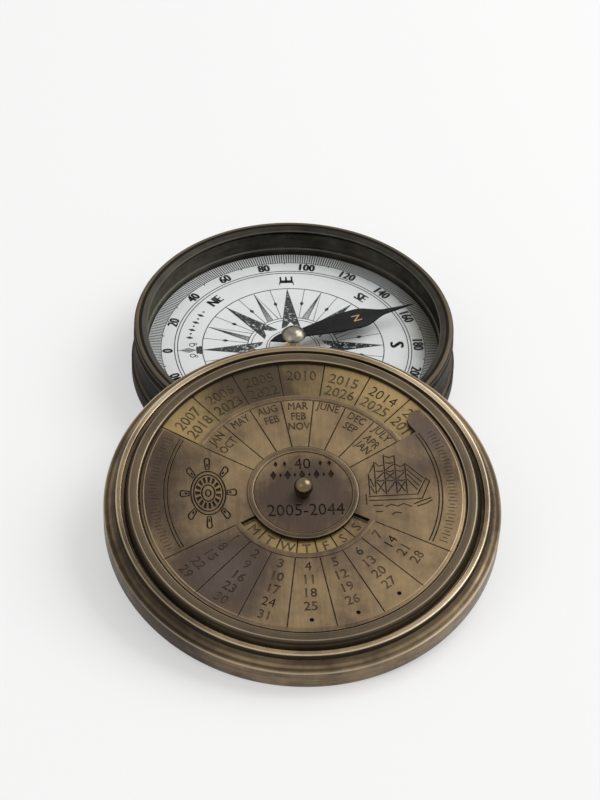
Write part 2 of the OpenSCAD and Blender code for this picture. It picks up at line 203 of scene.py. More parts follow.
class Shader:
    """One node tree, built by expressions."""

    def __init__(self, name: str, world: bpy.types.World | None = None) -> None:
        """Empties the tree of a world, or of a new material where none is given.

        Args:
            name: The new material's name.
            world: The world.
        """
        self.owner = world or bpy.data.materials.new(name)
        self.owner.use_nodes = True
        self.tree = self.owner.node_tree
        self.tree.nodes.clear()

    def node(
        self,
        kind: str,
        settings: dict[str, Any] | None = None,
        inputs: dict[str | int, Any] | None = None,
    ) -> Made:
        """Adds a node, sets it up and feeds its sockets.

        Args:
            kind: The node's type.
            settings: Properties that are set first.
            inputs: Values or links by socket name or number.

        Returns:
            The node.
        """
        made = self.tree.nodes.new(kind)
        for name, setting in (settings or {}).items():
            setattr(made, name, setting)
        for name, given in (inputs or {}).items():
            if isinstance(given, Made):
                given = given.out()
            if isinstance(given, Value):
                self.tree.links.new(given.socket, made.inputs[name])
            else:
                made.inputs[name].default_value = given
        return Made(self, made)

    def local(self, place: Place) -> Value:
        """Reads Object coordinates in a sub-assembly's own frame.

        Args:
            place: Where that frame lies.

        Returns:
            The coordinates, in millimetres.
        """
        inputs = {
            "Vector": self.node("ShaderNodeTexCoord").out("Object"),
            "Location": place.origin,
            "Rotation": place.matrix.to_euler(),
            "Scale": (MM, MM, MM),
        }
        return self.node("ShaderNodeMapping", {"vector_type": "TEXTURE"}, inputs).out()

    def split(self, vector: Value) -> tuple[Value, Value, Value]:
        """The three parts of a vector."""
        parts = self.node("ShaderNodeSeparateXYZ", None, {0: vector})
        return parts.out(0), parts.out(1), parts.out(2)

    def join(self, x: Value, y: Value, z: Value) -> Value:
        """A vector from three parts."""
        return self.node("ShaderNodeCombineXYZ", None, {0: x, 1: y, 2: z}).out()

    def noise(self, vector: Value, scale: float, detail: float = 3.0) -> Value:
        """Noise between 0 and 1; its scale is in cells to a millimetre, its detail in layers."""
        inputs = {"Vector": vector, "Scale": scale, "Detail": detail, "Roughness": 0.6}
        return self.node("ShaderNodeTexNoise", {"noise_dimensions": "3D"}, inputs).out(0)

    def mix(self, factor: Value | float, low: Value | Rgb, high: Value | Rgb) -> Value:
        """Mixes two colours; the node's sockets 6 and 7 and its output 2 are its colours.

        Args:
            factor: The second colour's share.
            low: The first colour.
            high: The second colour.

        Returns:
            The mixed colour.
        """
        low, high = (c if isinstance(c, Value) else (*c, 1.0) for c in (low, high))
        inputs = {0: factor, 6: low, 7: high}
        return self.node("ShaderNodeMix", {"data_type": "RGBA"}, inputs).out(2)

    def shade(self, colour: Value, amount: Value) -> Value:
        """A colour times a number."""
        settings = {"data_type": "RGBA", "blend_type": "MULTIPLY"}
        return self.node("ShaderNodeMix", settings, {0: 1.0, 6: colour, 7: amount}).out(2)

    def bump(self, height: Value, strength: float, depth: float) -> Value:
        """A normal from a height; the depth is what a height of 1 is, in millimetres."""
        inputs = {"Height": height, "Strength": strength, "Distance": depth * MM}
        return self.node("ShaderNodeBump", None, inputs).out()

    def blend(self, factor: Value | float, low: Made, high: Made) -> Made:
        """Two shaders mixed."""
        return self.node("ShaderNodeMixShader", None, {0: factor, 1: low, 2: high})

    def principled(self, inputs: dict[str | int, Any]) -> bpy.types.Material:
        """Ends the material with one principled shader."""
        return self.end(self.node("ShaderNodeBsdfPrincipled", None, inputs))

    def end(self, last: Made) -> bpy.types.Material:
        """Sends a shader to the output and returns the material."""
        self.node("ShaderNodeOutputMaterial", None, {"Surface": last})
        return self.owner


class Skin:
    """What a metal's shader reads: its own coordinates and the layers of noise on it."""

    def __init__(self, shader: Shader, place: Place, grain: Grain) -> None:
        """Adds the coordinates and the noise to a shader.

        Args:
            shader: The shader.
            place: The piece's own frame.
            grain: Which way the strokes of the finish are drawn out.
        """
        local = shader.local(place)
        self.x, self.y, self.z = x, y, z = shader.split(local)
        self.radius = (x * x + y * y).root()
        self.cloud = shader.noise(local, 0.09, 3.0) - 0.5
        self.mottle = shader.noise(local, 0.5, 4.0) - 0.5
        self.speck = shader.noise(local, 5.0, 2.0) - 0.5
        if grain is Grain.TURNED:
            across, along, height = self.radius, (x + y) * 0.1, z
        else:
            across, along, height = x, y * 0.14, z * 0.3
        self.coarse = shader.noise(shader.join(across * 1.3, along, height * 1.3), 1.0, 3.0)
        self.fine = shader.noise(shader.join(across * 6.0, along * 1.6, height * 6.0), 1.0, 2.0)


@dataclass(frozen=True)
class Patch:
    """A soft round place that darkens the metal with tarnish or brightens it where it is bare; on
    some pieces it paints shade and light.
    """

    x: float
    y: float
    radius: float
    weight: float

    def on(self, skin: Skin) -> Value:
        """How strongly it acts at each point of a skin."""
        east, north = skin.x - self.x, skin.y - self.y
        return (east * east + north * north).root().ramp(self.radius, 0.0) * self.weight


@dataclass(frozen=True)
class Band:
    """A ring of the surface, by its distance from the axis or its height."""

    middle: float
    half: float
    amount: float
    upright: bool = False

    def on(self, skin: Skin) -> Value:
        """How strongly it acts at each point of a skin."""
        away = ((skin.z if self.upright else skin.radius) - self.middle).size()
        return away.ramp(self.half, self.half * 0.35) * self.amount


def total(marks: Iterable[Patch | Band], skin: Skin) -> Value | float:
    """How strongly some patches or bands act together on a skin."""
    return sum((mark.on(skin) for mark in marks), 0.0)


@dataclass(frozen=True)
class AgedMetal:
    """Metal with a patchy patina over a brushed face that has lost its patina in places, and with
    painted shade in hollows and painted highlights on edges.

    An engraving is given by the height of its face and how far it reaches from the axis.
    """

    name: str
    place: Place
    bright: Rgb
    dark: Rgb
    # Pale colour of bare edges, used for wear and for painted highlights.
    worn: Rgb = (0.33, 0.25, 0.148)
    # Colour of grime in engravings, also used for painted shade in creases.
    grime: Rgb = (0.014, 0.011, 0.008)
    bloom: Rgb = (0.088, 0.066, 0.056)
    tarnish: float = 0.5
    unrest: float = 1.0
    grain: Grain = Grain.TURNED
    roughness: float = 0.36
    metallic: float = 0.9
    gloss: float = 0.5
    relief: float = 0.012
    # Patches of tarnish; on some pieces they also paint shade and light on the sides away from and
    # toward the key lamp.
    patches: tuple[Patch, ...] = ()
    blooms: tuple[Patch, ...] = ()
    # Bands of pale edges: wear, and painted highlights.
    wear: tuple[Band, ...] = ()
    # Patches that strengthen the pale edges as painted highlights, and weaken them as painted shade
    # where negative.
    gleams: tuple[Patch, ...] = ()
    # Bands of painted shade in creases and hollows.
    dirt: tuple[Band, ...] = ()
    engraving: Point | None = None

    def patina(self, skin: Skin) -> Value:
        """How tarnished each point is, with the painted shade and light that some patches add.

        Args:
            skin: The metal's coordinates and noise.

        Returns:
            A value between 0 and 1.
        """
        brushed = 0.75 if self.grain is Grain.TURNED else 0.45
        broad = skin.cloud * 1.3 + skin.mottle * 0.55
        drawn = (skin.coarse - 0.5) * brushed + (skin.fine - 0.5) * 0.3
        amount = (broad + drawn) * self.unrest + self.tarnish + total(self.patches, skin)
        return amount.ramp(-0.1, 1.1)

    def cut_dirt(self, skin: Skin, inside: Value) -> Value:
        """The dirt in an engraving: most along its edges, less on the flat floor of figures.

        Args:
            skin: The metal's coordinates and noise.
            inside: Where the engraved face lies.

        Returns:
            How dirty each point is.
        """
        depth = self.engraving[0] - skin.z
        floor = depth.ramp(CUT - 0.015, CUT - 0.002) - depth.ramp(CUT + 0.002, CUT + 0.015)
        return depth.ramp(0.03, 0.09) * (1.0 - floor * 0.33) * inside * (0.9 + skin.mottle)

    def material(self) -> bpy.types.Material:
        """Builds the material.

        Returns:
            The material.
        """
        shader = Shader(self.name)
        skin = Skin(shader, self.place, self.grain)
        tarnish = self.patina(skin)
        colour = shader.mix(tarnish, self.bright, self.dark)
        if self.blooms:
            bloom = total(self.blooms, skin) * (skin.mottle + skin.cloud + 1.0)
            colour = shader.mix(bloom.ramp(0.0, 1.2), colour, self.bloom)
        colour = shader.shade(colour, 0.74 + skin.fine * 0.52 + skin.speck * 0.3)
        rough = self.roughness + tarnish * 0.12 + (skin.fine - 0.5) * 0.22 + skin.speck * 0.08
        # Pale edges: wear, and painted highlights, scaled by the painted-light patches.
        if self.wear:
            rubbed_and_lit = total(self.wear, skin) * (0.4 + skin.coarse * 1.1)
            rubbed_and_lit = rubbed_and_lit * (total(self.gleams, skin) + 1.0)
            colour = shader.mix(rubbed_and_lit.ramp(0.0, 1.0), colour, self.worn)
        # Painted shade of the shade bands.
        dirt_and_shade_mask = total(self.dirt, skin)
        if self.engraving:
            face, reach = self.engraving
            inside = skin.radius.ramp(reach + 0.1, reach)
            # A painted highlight along the top of engraved edges.
            brink = (face - skin.z).ramp(0.005, 0.03) * inside
            colour = shader.mix(brink * 0.38, colour, self.worn)
            dirt_and_shade_mask = self.cut_dirt(skin, inside) + dirt_and_shade_mask
        # Grime in engravings, and painted shade in creases.
        if self.dirt or self.engraving:
            dirt_and_shade_mask = dirt_and_shade_mask.ramp(0.0, 1.0)
            colour = shader.mix(dirt_and_shade_mask, colour, self.grime)
            rough = rough + dirt_and_shade_mask * 0.2
        height = skin.fine * 0.7 + skin.speck * 0.15 + skin.mottle * 0.2
        return shader.principled({
            "Base Color": colour,
            "Metallic": self.metallic,
            "Specular IOR Level": self.gloss,
            "Roughness": rough,
            "Normal": shader.bump(height, 0.5, self.relief),
        })


@dataclass(frozen=True)
class Ink:
    """Printing ink, a little uneven in the solid parts."""

    name: str
    colour: Rgb
    thin: Rgb

    def material(self) -> bpy.types.Material:
        """Builds the material.

        Returns:
            The material.
        """
        shader = Shader(self.name)
        cover = shader.noise(shader.local(BOX_PLACE), 2.2, 4.0).ramp(0.45, 0.75)
        return shader.principled({
            "Base Color": shader.mix(cover, self.colour, self.thin),
            "Roughness": 0.5 + cover * 0.15,
            "Normal": shader.bump(cover, 0.2, 0.01),
        })


@dataclass(frozen=True)
class Marbled:
    """Marbled print: dark veins and flecks over a pale ground."""

    name: str
    dark: Rgb
    middle: Rgb
    pale: Rgb

    def material(self) -> bpy.types.Material:
        """Builds the material.

        Returns:
            The material.
        """
        shader = Shader(self.name)
        local = shader.local(BOX_PLACE)
        warp = shader.noise(local, 0.7, 3.0)
        x, y, z = shader.split(local)
        warped = shader.join(x + warp * 1.6, y + warp * 1.3, z)
        vein = shader.noise(warped, 1.0, 4.0)
        fleck = shader.noise(warped, 2.1, 2.0)
        flecked = (vein * 0.5 + fleck * 0.5).ramp(0.545, 0.585)
        ground = shader.mix(vein.ramp(0.47, 0.58), self.dark, self.middle)
        return shader.principled({
            "Base Color": shader.mix(flecked, ground, self.pale),
            "Roughness": 0.45 + fleck * 0.1,
        })


@dataclass(frozen=True)
class CardStock:
    """White card with a faint mottle and paper tooth, with painted shade along one side."""

    name: str
    colour: Rgb
    aged: Rgb
    # The painted shade cast by the box's wall: its tint, the direction of the card's shaded side,
    # and where the shade fades in.
    stained: Rgb
    side: Point = (0.97, 0.24)
    stain: Point = (23.5, 31.5)

    def material(self) -> bpy.types.Material:
        """Builds the material.

        Returns:
            The material.
        """
        shader = Shader(self.name)
        local = shader.local(BOX_PLACE)
        mottle = shader.noise(local, 0.12, 5.0)
        tooth = shader.noise(local, 7.0, 3.0)
        colour = shader.mix((mottle * 0.8 + tooth * 0.2).ramp(0.4, 0.8), self.colour, self.aged)
        x, y, _ = shader.split(local)
        # Painted shade from the box's wall, fading in towards one side of the card.
        aside = x * self.side[0] + y * self.side[1] + (mottle - 0.5) * 3.0
        return shader.principled({
            "Base Color": shader.mix(aside.ramp(*self.stain), colour, self.stained),
            "Roughness": 0.55 + tooth * 0.15,
            "Normal": shader.bump(tooth, 0.25, 0.01),
        })


@dataclass(frozen=True)
class ClearGlass:
    """Flat clear glass with a ground edge: what isn't reflected passes straight through."""

    name: str
    radius: float
    ground: Rgb = (0.30, 0.29, 0.25)
    edge_shine: float = 0.5

    def material(self) -> bpy.types.Material:
        """Builds the material.

        Returns:
            The material.
        """
        shader = Shader(self.name)
        slant = shader.node("ShaderNodeLayerWeight", None, {"Blend": 0.5}).out("Facing")
        mirror = slant.ramp(0.45, 1.0) * self.edge_shine
        clear = shader.node("ShaderNodeBsdfTransparent", None, {"Color": (1.0, 1.0, 1.0, 1.0)})
        gloss = shader.node("ShaderNodeBsdfGlossy", None, {"Roughness": 0.03})
        frost = shader.node("ShaderNodeBsdfDiffuse", None, {"Color": (*self.ground, 1.0)})
        x, y, _ = shader.split(shader.local(BOX_PLACE))
        rim = (x * x + y * y).root().ramp(self.radius - 0.04, self.radius - 0.02)
        return shader.end(shader.blend(rim, shader.blend(mirror, clear, gloss), frost))


@dataclass(frozen=True)
class Stone:
    """Polished bearing stone."""

    name: str
    colour: Rgb
    deep: Rgb

    def material(self) -> bpy.types.Material:
        """Builds the material.

        Returns:
            The material.
        """
        shader = Shader(self.name)
        cloud = shader.noise(shader.local(BOX_PLACE), 1.1, 3.0)
        return shader.principled({
            "Base Color": shader.mix(cloud, self.colour, self.deep),
            "Roughness": 0.12 + cloud * 0.1,
        })


def polar(radius: float, degrees: float) -> Point:
    """A point at a distance and direction from the middle."""
    angle = math.radians(degrees)
    return radius * math.cos(angle), radius * math.sin(angle)


def ray(low: float, high: float, degrees: float) -> Outline:
    """A line straight out from the middle, between two distances."""
    return [polar(low, degrees), polar(high, degrees)]


def arc(radius: float, start: float, end: float, step: float = 2.0) -> Outline:
    """Points along an arc about the middle, both its ends included; angles are in degrees."""
    count = max(1, math.ceil(abs(end - start) / step))
    return [polar(radius, start + (end - start) * i / count) for i in range(count + 1)]


def circle(radius: float, step: float = 2.0) -> Outline:
    """Points all round the middle, the first of them not repeated."""
    return arc(radius, 0.0, 360.0 - step, step)


def bow(centre: Point, radius: float, start: float, end: float, step: float) -> Outline:
    """Points along an arc about any centre."""
    return moved(arc(radius, start, end, step), centre)


def band_outline(inner: float, outer: float, start: float, end: float) -> Outline:
    """The outline of a part of a ring."""
    return arc(outer, start, end) + arc(inner, end, start)


def bar(left: float, low: float, right: float, high: float) -> Outline:
    """The corners of an upright rectangle."""
    return [(left, low), (right, low), (right, high), (left, high)]


def lozenge(x: float, y: float, wide: float, tall: float) -> Outline:
    """The corners of a lozenge, from its middle and half its two lengths."""
    return [(x - wide, y), (x, y - tall), (x + wide, y), (x, y + tall)]


def whole(half: Outline) -> Outline:
    """An outline from one half of it; the points on its axis aren't doubled."""
    return half + [(x, -y) for x, y in reversed(half) if y != 0.0]


def moved(points: Iterable[Point], centre: Point, degrees: float = 0.0) -> Outline:
    """Points turned about the middle, then moved to a centre."""
    c, s = math.cos(math.radians(degrees)), math.sin(math.radians(degrees))
    return [(centre[0] + x * c - y * s, centre[1] + x * s + y * c) for x, y in points]


def finished(work: bmesh.types.BMesh, name: str) -> bpy.types.Mesh:
    """Makes a mesh of a bmesh.

    Args:
        work: The bmesh, which is used up.
        name: The mesh's name.

    Returns:
        The mesh.
    """
    mesh = bpy.data.meshes.new(name)
    work.to_mesh(mesh)
    work.free()
    return mesh


def sealed(work: bmesh.types.BMesh) -> None:
    """Merges doubles and turns the faces outwards."""
    bmesh.ops.remove_doubles(work, verts=work.verts, dist=MERGE)
    bmesh.ops.recalc_face_normals(work, faces=work.faces)


def baked(data: bpy.types.Curve) -> bpy.types.Mesh:
    """Turns a curve or text into a closed mesh.

    Args:
        data: The curve, which is used up.

    Returns:
        Its mesh, with doubles merged.
    """
    holder = bpy.data.objects.new("blank", data)
    bpy.context.scene.collection.objects.link(holder)
    graph = bpy.context.evaluated_depsgraph_get()
    mesh = bpy.data.meshes.new_from_object(holder.evaluated_get(graph))
    bpy.data.objects.remove(holder)
    bpy.data.curves.remove(data)
    work = bmesh.new()
    work.from_mesh(mesh)
    bpy.data.meshes.remove(mesh)
    sealed(work)
    return finished(work, "baked")


def lathe(profile: Sequence[tuple[float, ...]], closed: bool = True) -> bpy.types.Mesh:
    """Turns a profile about the axis.

    Args:
        profile: Corners as radius and height, and a rounding for those that have one.
        closed: Whether the profile's ends are joined; not where both lie on the axis.

    Returns:
        The turned mesh.
    """
    work = bmesh.new()
    corners = [work.verts.new((corner[0], 0.0, corner[1])) for corner in profile]
    for first, second in zip(corners, corners[1:]):
        work.edges.new((first, second))
    if closed:
        work.edges.new((corners[-1], corners[0]))
    for corner, vert in zip(profile, corners):
        if len(corner) > 2:
            bmesh.ops.bevel(
                work, geom=[vert], offset=corner[2], offset_type="OFFSET", affect="VERTICES",
                segments=3, profile=0.5, material=-1,
            )
    bmesh.ops.spin(
        work, geom=work.verts[:] + work.edges[:], axis=(0, 0, 1), cent=(0, 0, 0),
        angle=math.tau, steps=LATHE_STEPS, use_merge=True,
    )
    sealed(work)
    return finished(work, "turned")


def add_line(data: bpy.types.Curve, line: Outline, height: float, closed: bool) -> None:
    """Adds straight runs between points to a curve.

    Args:
        data: The curve.
        line: The points.
        height: Where they lie.
        closed: Whether the last is joined to the first.
    """
    spline = data.splines.new("POLY")
    spline.points.add(len(line) - 1)
    spline.use_cyclic_u = closed
    for point, (x, y) in zip(spline.points, line):
        point.co = (x, y, height, 1.0)


def sheet(
    outlines: Iterable[Outline], bottom: float, top: float, edge: float = 0.0
) -> bpy.types.Mesh:
    """Cuts a flat shape, with holes, out of sheet.

    Args:
        outlines: Closed outlines; one inside another is a hole.
        bottom: Height of the lower face.
        top: Height of the upper face.
        edge: Rounding of the edges.

    Returns:
        The mesh.
    """
    data = bpy.data.curves.new("outline", "CURVE")
    data.dimensions = "2D"
    data.fill_mode = "BOTH"
    data.extrude = (top - bottom) / 2 - edge
    data.bevel_depth = edge
    data.bevel_resolution = 1
    data.offset = -edge
    for outline in outlines:
        add_line(data, outline, 0.0, closed=True)
    mesh = baked(data)
    mesh.transform(Matrix.Translation((0.0, 0.0, (top + bottom) / 2)))
    return mesh


def strokes(
    lines: Iterable[Outline], height: float, width: float, ring: bool = False
) -> bpy.types.Mesh:
    """Lays thin square bars along lines, standing on an edge.

    Args:
        lines: The lines.
        height: Where the bars' middles lie.
        width: Their width across the corners.
        ring: Whether each line closes on itself.

    Returns:
        The mesh.
    """
    data = bpy.data.curves.new("strokes", "CURVE")
    data.dimensions = "3D"
    data.bevel_depth = width / 2
    data.bevel_resolution = 0
    data.use_fill_caps = True
    for line in lines:
        add_line(data, line, height, ring)
    return baked(data)


@dataclass(frozen=True)
class Legend:
    """A few characters at a place on a face."""

    text: str
    centre: Point
    size: float
    turn: float = 0.0
    width: float = 1.0

    def mesh(self, bottom: float, top: float, slope: float = 0.0) -> bpy.types.Mesh:
        """Builds the characters as solid type.

        Args:
            bottom: Height of the lower face.
            top: Height of the middle, up to which the sides spread.
            slope: How far they spread.

        Returns:
            The mesh, which reaches as far above the middle as below it.
        """
        data = bpy.data.curves.new("legend", "FONT")
        data.body = self.text
        data.size = self.size * TYPE_SIZE
        data.align_x = "CENTER"
        data.align_y = "CENTER"
        data.resolution_u = 2
        data.extrude = (top - bottom) - slope
        data.bevel_depth = slope
        data.bevel_resolution = 0
        data.offset = -slope / 2
        mesh = baked(data)
        low = min(v.co.y for v in mesh.vertices)
        high = max(v.co.y for v in mesh.vertices)
        mesh.transform(
            Matrix.Translation((*self.centre, top))
            @ Matrix.Rotation(math.radians(self.turn), 4, "Z")
            @ Matrix.Diagonal((self.width, 1.0, 1.0, 1.0))
            @ Matrix.Translation((0.0, -(low + high) / 2, 0.0))
        )
        return mesh

    def cutter(self, face: float, depth: float) -> bpy.types.Mesh:
        """Makes a cutter with sloping sides; a 4, too narrow for them, is cut straight and deep.

        Args:
            face: Height of the face that is cut.
            depth: Depth of the cut.

        Returns:
            The cutter.
        """
        if "4" in self.text:
            return self.mesh(face - DEEP_CUT, face + OVERLAP)
        return self.mesh(face - depth, face + OVERLAP, CUT_SLOPE)


def gathered(meshes: Iterable[bpy.types.Mesh]) -> bpy.types.Mesh:
    """Puts several meshes into one.

    Args:
        meshes: The meshes, which are used up.

    Returns:
        The joined mesh.
    """
    work = bmesh.new()
    for mesh in meshes:
        work.from_mesh(mesh)
        bpy.data.meshes.remove(mesh)
    return finished(work, "gathered")


def engraved(blank: bpy.types.Mesh, cutters: Iterable[bpy.types.Mesh]) -> bpy.types.Mesh:
    """Cuts a plate with one cutter after another.

    Args:
        blank: The plain plate, which is used up.
        cutters: Closed meshes, none of which cuts through itself; they are used up.

    Returns:
        The engraved plate.
    """
    scene = bpy.context.scene.collection.objects
    plate = bpy.data.objects.new("plate", blank)
    scene.link(plate)
    tools = []
    for cutter in cutters:
        tool = bpy.data.objects.new("cutter", cutter)
        scene.link(tool)
        tools.append(tool)
        cut = plate.modifiers.new("cut", "BOOLEAN")
        cut.operation = "DIFFERENCE"
        cut.solver = "MANIFOLD"
        cut.object = tool
    graph = bpy.context.evaluated_depsgraph_get()
    result = bpy.data.meshes.new_from_object(plate.evaluated_get(graph))
    for tool in [plate, *tools]:
        used = tool.data
        bpy.data.objects.remove(tool)
        bpy.data.meshes.remove(used)
    return result


def install(
    name: str,
    mesh: bpy.types.Mesh,
    finish: bpy.types.Material,
    body: str,
    place: Place = BOX_PLACE,
    stands_for: Sequence[str] = (),
    smooth: float = 35.0,
) -> None:
    """Places a piece, dresses it and joins it to its body.

    Args:
        name: The piece's name.
        mesh: Its mesh, in millimetres in its own frame.
        finish: Its material.
        body: The body that it moves with.
        place: Where its own frame lies.
        stands_for: The nodes that it replaces.
        smooth: Edges under this angle are shaded smooth.
    """
    mesh.name = name
    mesh.transform(place.matrix @ Matrix.Scale(MM, 4))
    mesh.materials.clear()
    mesh.materials.append(finish)
    mesh.polygons.foreach_set("material_index", [0] * len(mesh.polygons))
    mesh.polygons.foreach_set("use_smooth", [True] * len(mesh.polygons))
    mesh.set_sharp_from_angle(angle=math.radians(smooth))
    piece = bpy.data.objects.new(name, mesh)
    bpy.context.scene.collection.objects.link(piece)
    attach(piece, body)
    if stands_for:
        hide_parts(*stands_for)
    LOG.info("%s on %s: %d faces", name, body, len(mesh.polygons))


def dress(node: str, finish: bpy.types.Material) -> None:
    """Gives a node that stays its finish.

    Args:
        node: The node's name.
        finish: Its material.
    """
    for slot in frame["nodes"][node].material_slots:
        slot.material = finish
    LOG.info("%s dressed", node)


class Finishes:
    """Every finish of the compass, made once."""

    def __init__(self) -> None:
        """Makes the finishes of the box, the lid, the small pieces and the card."""
        self.box_finishes()
        self.lid_finishes()
        self.calendar_finishes()
        self.small_finishes()
        self.card_finishes()

    def box_finishes(self) -> None:
        """Makes the dark metals of the box."""
        self.bronze = AgedMetal(
            "dark_bronze", BOX_PLACE, (0.050, 0.038, 0.025), (0.008, 0.0063, 0.0043),
            worn=(0.19, 0.15, 0.10), tarnish=0.6, roughness=0.45, metallic=0.1, gloss=0.08,
            # Darker on the left, away from the key lamp, as painted shade.
            patches=(Patch(-34.0, -10.0, 36.0, 0.65), Patch(33.0, -14.0, 26.0, -0.05)),
            # Pale lines on the bead, the rim and the foot: wear, and painted highlights.
            wear=(
                Band(10.4, 0.5, 0.3, True), Band(12.4, 0.3, 0.3, True),
                Band(4.3, 0.3, 0.45, True), Band(13.2, 0.3, 0.56, True),
            ),
            # Painted shade in the groove, under the bead and in the bore.
            dirt=(Band(11.5, 0.35, 0.9, True), Band(9.3, 0.5, 0.4, True), Band(32.95, 0.42, 0.9)),
        ).material()
        self.inner_wall = AgedMetal(
            "inner_bronze", BOX_PLACE, (0.096, 0.089, 0.072), (0.020, 0.018, 0.014),
            worn=(0.26, 0.25, 0.21), roughness=0.7, metallic=0.0, gloss=0.04, relief=0.002,
            # Lighter on the left, which faces the key lamp, and darker at the back and on the
            # right, as painted light and shade.
            patches=(
                Patch(-30.0, 8.0, 36.0, -0.22), Patch(0.0, 32.0, 18.0, 0.3),
                Patch(32.0, 4.0, 26.0, 0.55),
            ),
            # A painted highlight on the clamp's top edge, and painted shade low on the wall, next
            # to the card.
            wear=(Band(7.6, 0.12, 0.5, True),), dirt=(Band(6.5, 0.8, 0.55, True),),
        ).material()
        self.black_ring = AgedMetal(
            "black_ring", BOX_PLACE, (0.066, 0.060, 0.048), (0.016, 0.0145, 0.0115),
            worn=(0.13, 0.12, 0.095), roughness=0.6, metallic=0.0, gloss=0.1, relief=0.003,
            # Lighter on the left, toward the key lamp, and darker at the back: painted light and
            # shade.
            patches=(Patch(-30.0, 4.0, 34.0, -0.5), Patch(8.0, 30.0, 30.0, 0.2)),
            # A painted highlight on the lip's edge and painted shade at the outer joint.
            wear=(Band(31.42, 0.16, 0.5),), dirt=(Band(32.75, 0.35, 0.9),),
        ).material()

    def lid_finishes(self) -> None:
        """Makes the brass of the lid and of its grey ring."""
        self.lid_brass = AgedMetal(
            "old_brass", LID_PLACE, (0.29, 0.21, 0.122), (0.050, 0.035, 0.022),
            worn=(0.60, 0.49, 0.345), grime=(0.027, 0.020, 0.013), roughness=0.33,
            # Tarnish patches; the darker left front and the lighter right front also paint the
            # shade and light of the key lamp at the right.
            patches=(
                Patch(30.0, -28.0, 18.0, -0.20), Patch(40.0, -2.0, 18.0, 0.25),
                Patch(-33.0, -24.0, 30.0, 0.62), Patch(0.0, -42.0, 22.0, -0.16),
                Patch(-28.0, 30.0, 22.0, -0.30), Patch(28.0, 30.0, 22.0, -0.25),
            ),
            # Pale lines on the rib's edges and on the band's top and bottom edges: wear, and
            # painted highlights.
            wear=(
                Band(37.4, 0.2, 0.55), Band(36.55, 0.14, 0.35), Band(37.0, 0.5, 0.16),
                Band(4.98, 0.22, 0.5, True), Band(0.24, 0.12, 0.7, True),
            ),
            # Painted highlights strengthen the edge lines at the upper left and right and at the
            # right front; they are weakened at the left front as painted shade.
            gleams=(
                Patch(30.0, 26.0, 20.0, 2.4), Patch(-29.0, 27.0, 16.0, 2.4),
                Patch(30.0, -26.0, 20.0, 1.8), Patch(-32.0, -24.0, 26.0, -0.4),
            ),
            # Painted shade in the valley, under the rib and in the cove, and darker low on the
            # band.
            dirt=(
                Band(36.1, 0.42, 0.5), Band(35.5, 0.4, 0.6), Band(37.68, 0.16, 0.9),
                Band(38.1, 0.5, 0.5), Band(39.25, 0.5, 0.6), Band(0.95, 0.7, 0.2, True),
            ),
        ).material()
        self.grey_brass = AgedMetal(
            "grey_brass", LID_PLACE, (0.128, 0.095, 0.058), (0.052, 0.039, 0.026),
            worn=(0.44, 0.36, 0.25), unrest=0.6,
            patches=(Patch(-34.0, 4.0, 26.0, -0.35), Patch(0.0, -34.0, 20.0, 0.15)),
            # Pale lines on the ring's inner and outer top edges: wear, and painted highlights.
            wear=(Band(33.12, 0.16, 0.6), Band(34.75, 0.16, 0.5)),
            # Painted shade at the ring's outer foot.
            dirt=(Band(35.3, 0.3, 0.6),),
        ).material()

    def calendar_finishes(self) -> None:
        """Makes the brass of the two calendar plates and of the raised borders."""
        brushed = AgedMetal(
            "plate_brass", LID_PLACE.spun(Calendar.turn), (0.260, 0.182, 0.096),
            (0.056, 0.039, 0.028), grain=Grain.STRAIGHT, unrest=0.85,
        )
        self.calendar_brass = replace(
            brushed, grime=(0.018, 0.013, 0.0085), roughness=0.38,
            engraving=(Calendar.top, Calendar.radius - Calendar.bevel[0] - 0.1),
            patches=(
                Patch(3.0, 14.0, 17.0, -0.30), Patch(-8.0, 8.0, 10.0, -0.20),
                Patch(2.0, -28.0, 14.0, -0.18), Patch(17.0, -22.0, 11.0, -0.22),
                Patch(24.0, -8.0, 10.0, -0.15), Patch(-19.0, -9.0, 7.0, -0.35),
                Patch(-29.0, 9.0, 14.0, 0.50), Patch(-30.0, -5.0, 11.0, 0.40),
                Patch(-17.0, -18.0, 16.0, 0.95), Patch(0.0, -1.0, 16.0, 1.00),
                Patch(27.0, 15.0, 9.0, 0.45), Patch(31.0, 5.0, 9.0, 0.25),
                Patch(18.0, 4.0, 10.0, 0.15), Patch(3.0, -16.0, 9.0, 0.15),
            ),
            blooms=(
                Patch(-17.0, -19.0, 17.0, 0.8), Patch(27.0, 14.0, 10.0, 0.9),
                Patch(1.0, -2.0, 13.0, 0.6), Patch(18.0, 3.0, 12.0, 0.6),
                Patch(-19.0, 0.0, 10.0, 0.35), Patch(10.0, -14.0, 12.0, 0.4),
            ),
            # Pale lines on the plate's edge and bevel: wear, and painted highlights.
            wear=(Band(31.92, 0.16, 0.8), Band(32.45, 0.2, 0.45)),
            # The bevel's pale lines are weakened at the front, as painted shade.
            gleams=(Patch(0.0, -36.0, 30.0, -0.9),),
            # Painted shade at the foot of the raised border round the middle.
            dirt=(Band(9.85, 0.16, 0.6), Band(11.25, 0.16, 0.6)),
        ).material()
        self.border_brass = replace(
            brushed, name="border_brass", tarnish=0.62, unrest=0.75,
            patches=(Patch(0.0, -2.0, 16.0, 0.7),),
            # Pale lines on the borders' edges: wear, and painted highlights.
            wear=(Band(10.08, 0.14, 0.4), Band(11.02, 0.14, 0.4), Band(23.95, 0.14, 0.5)),
        ).material()
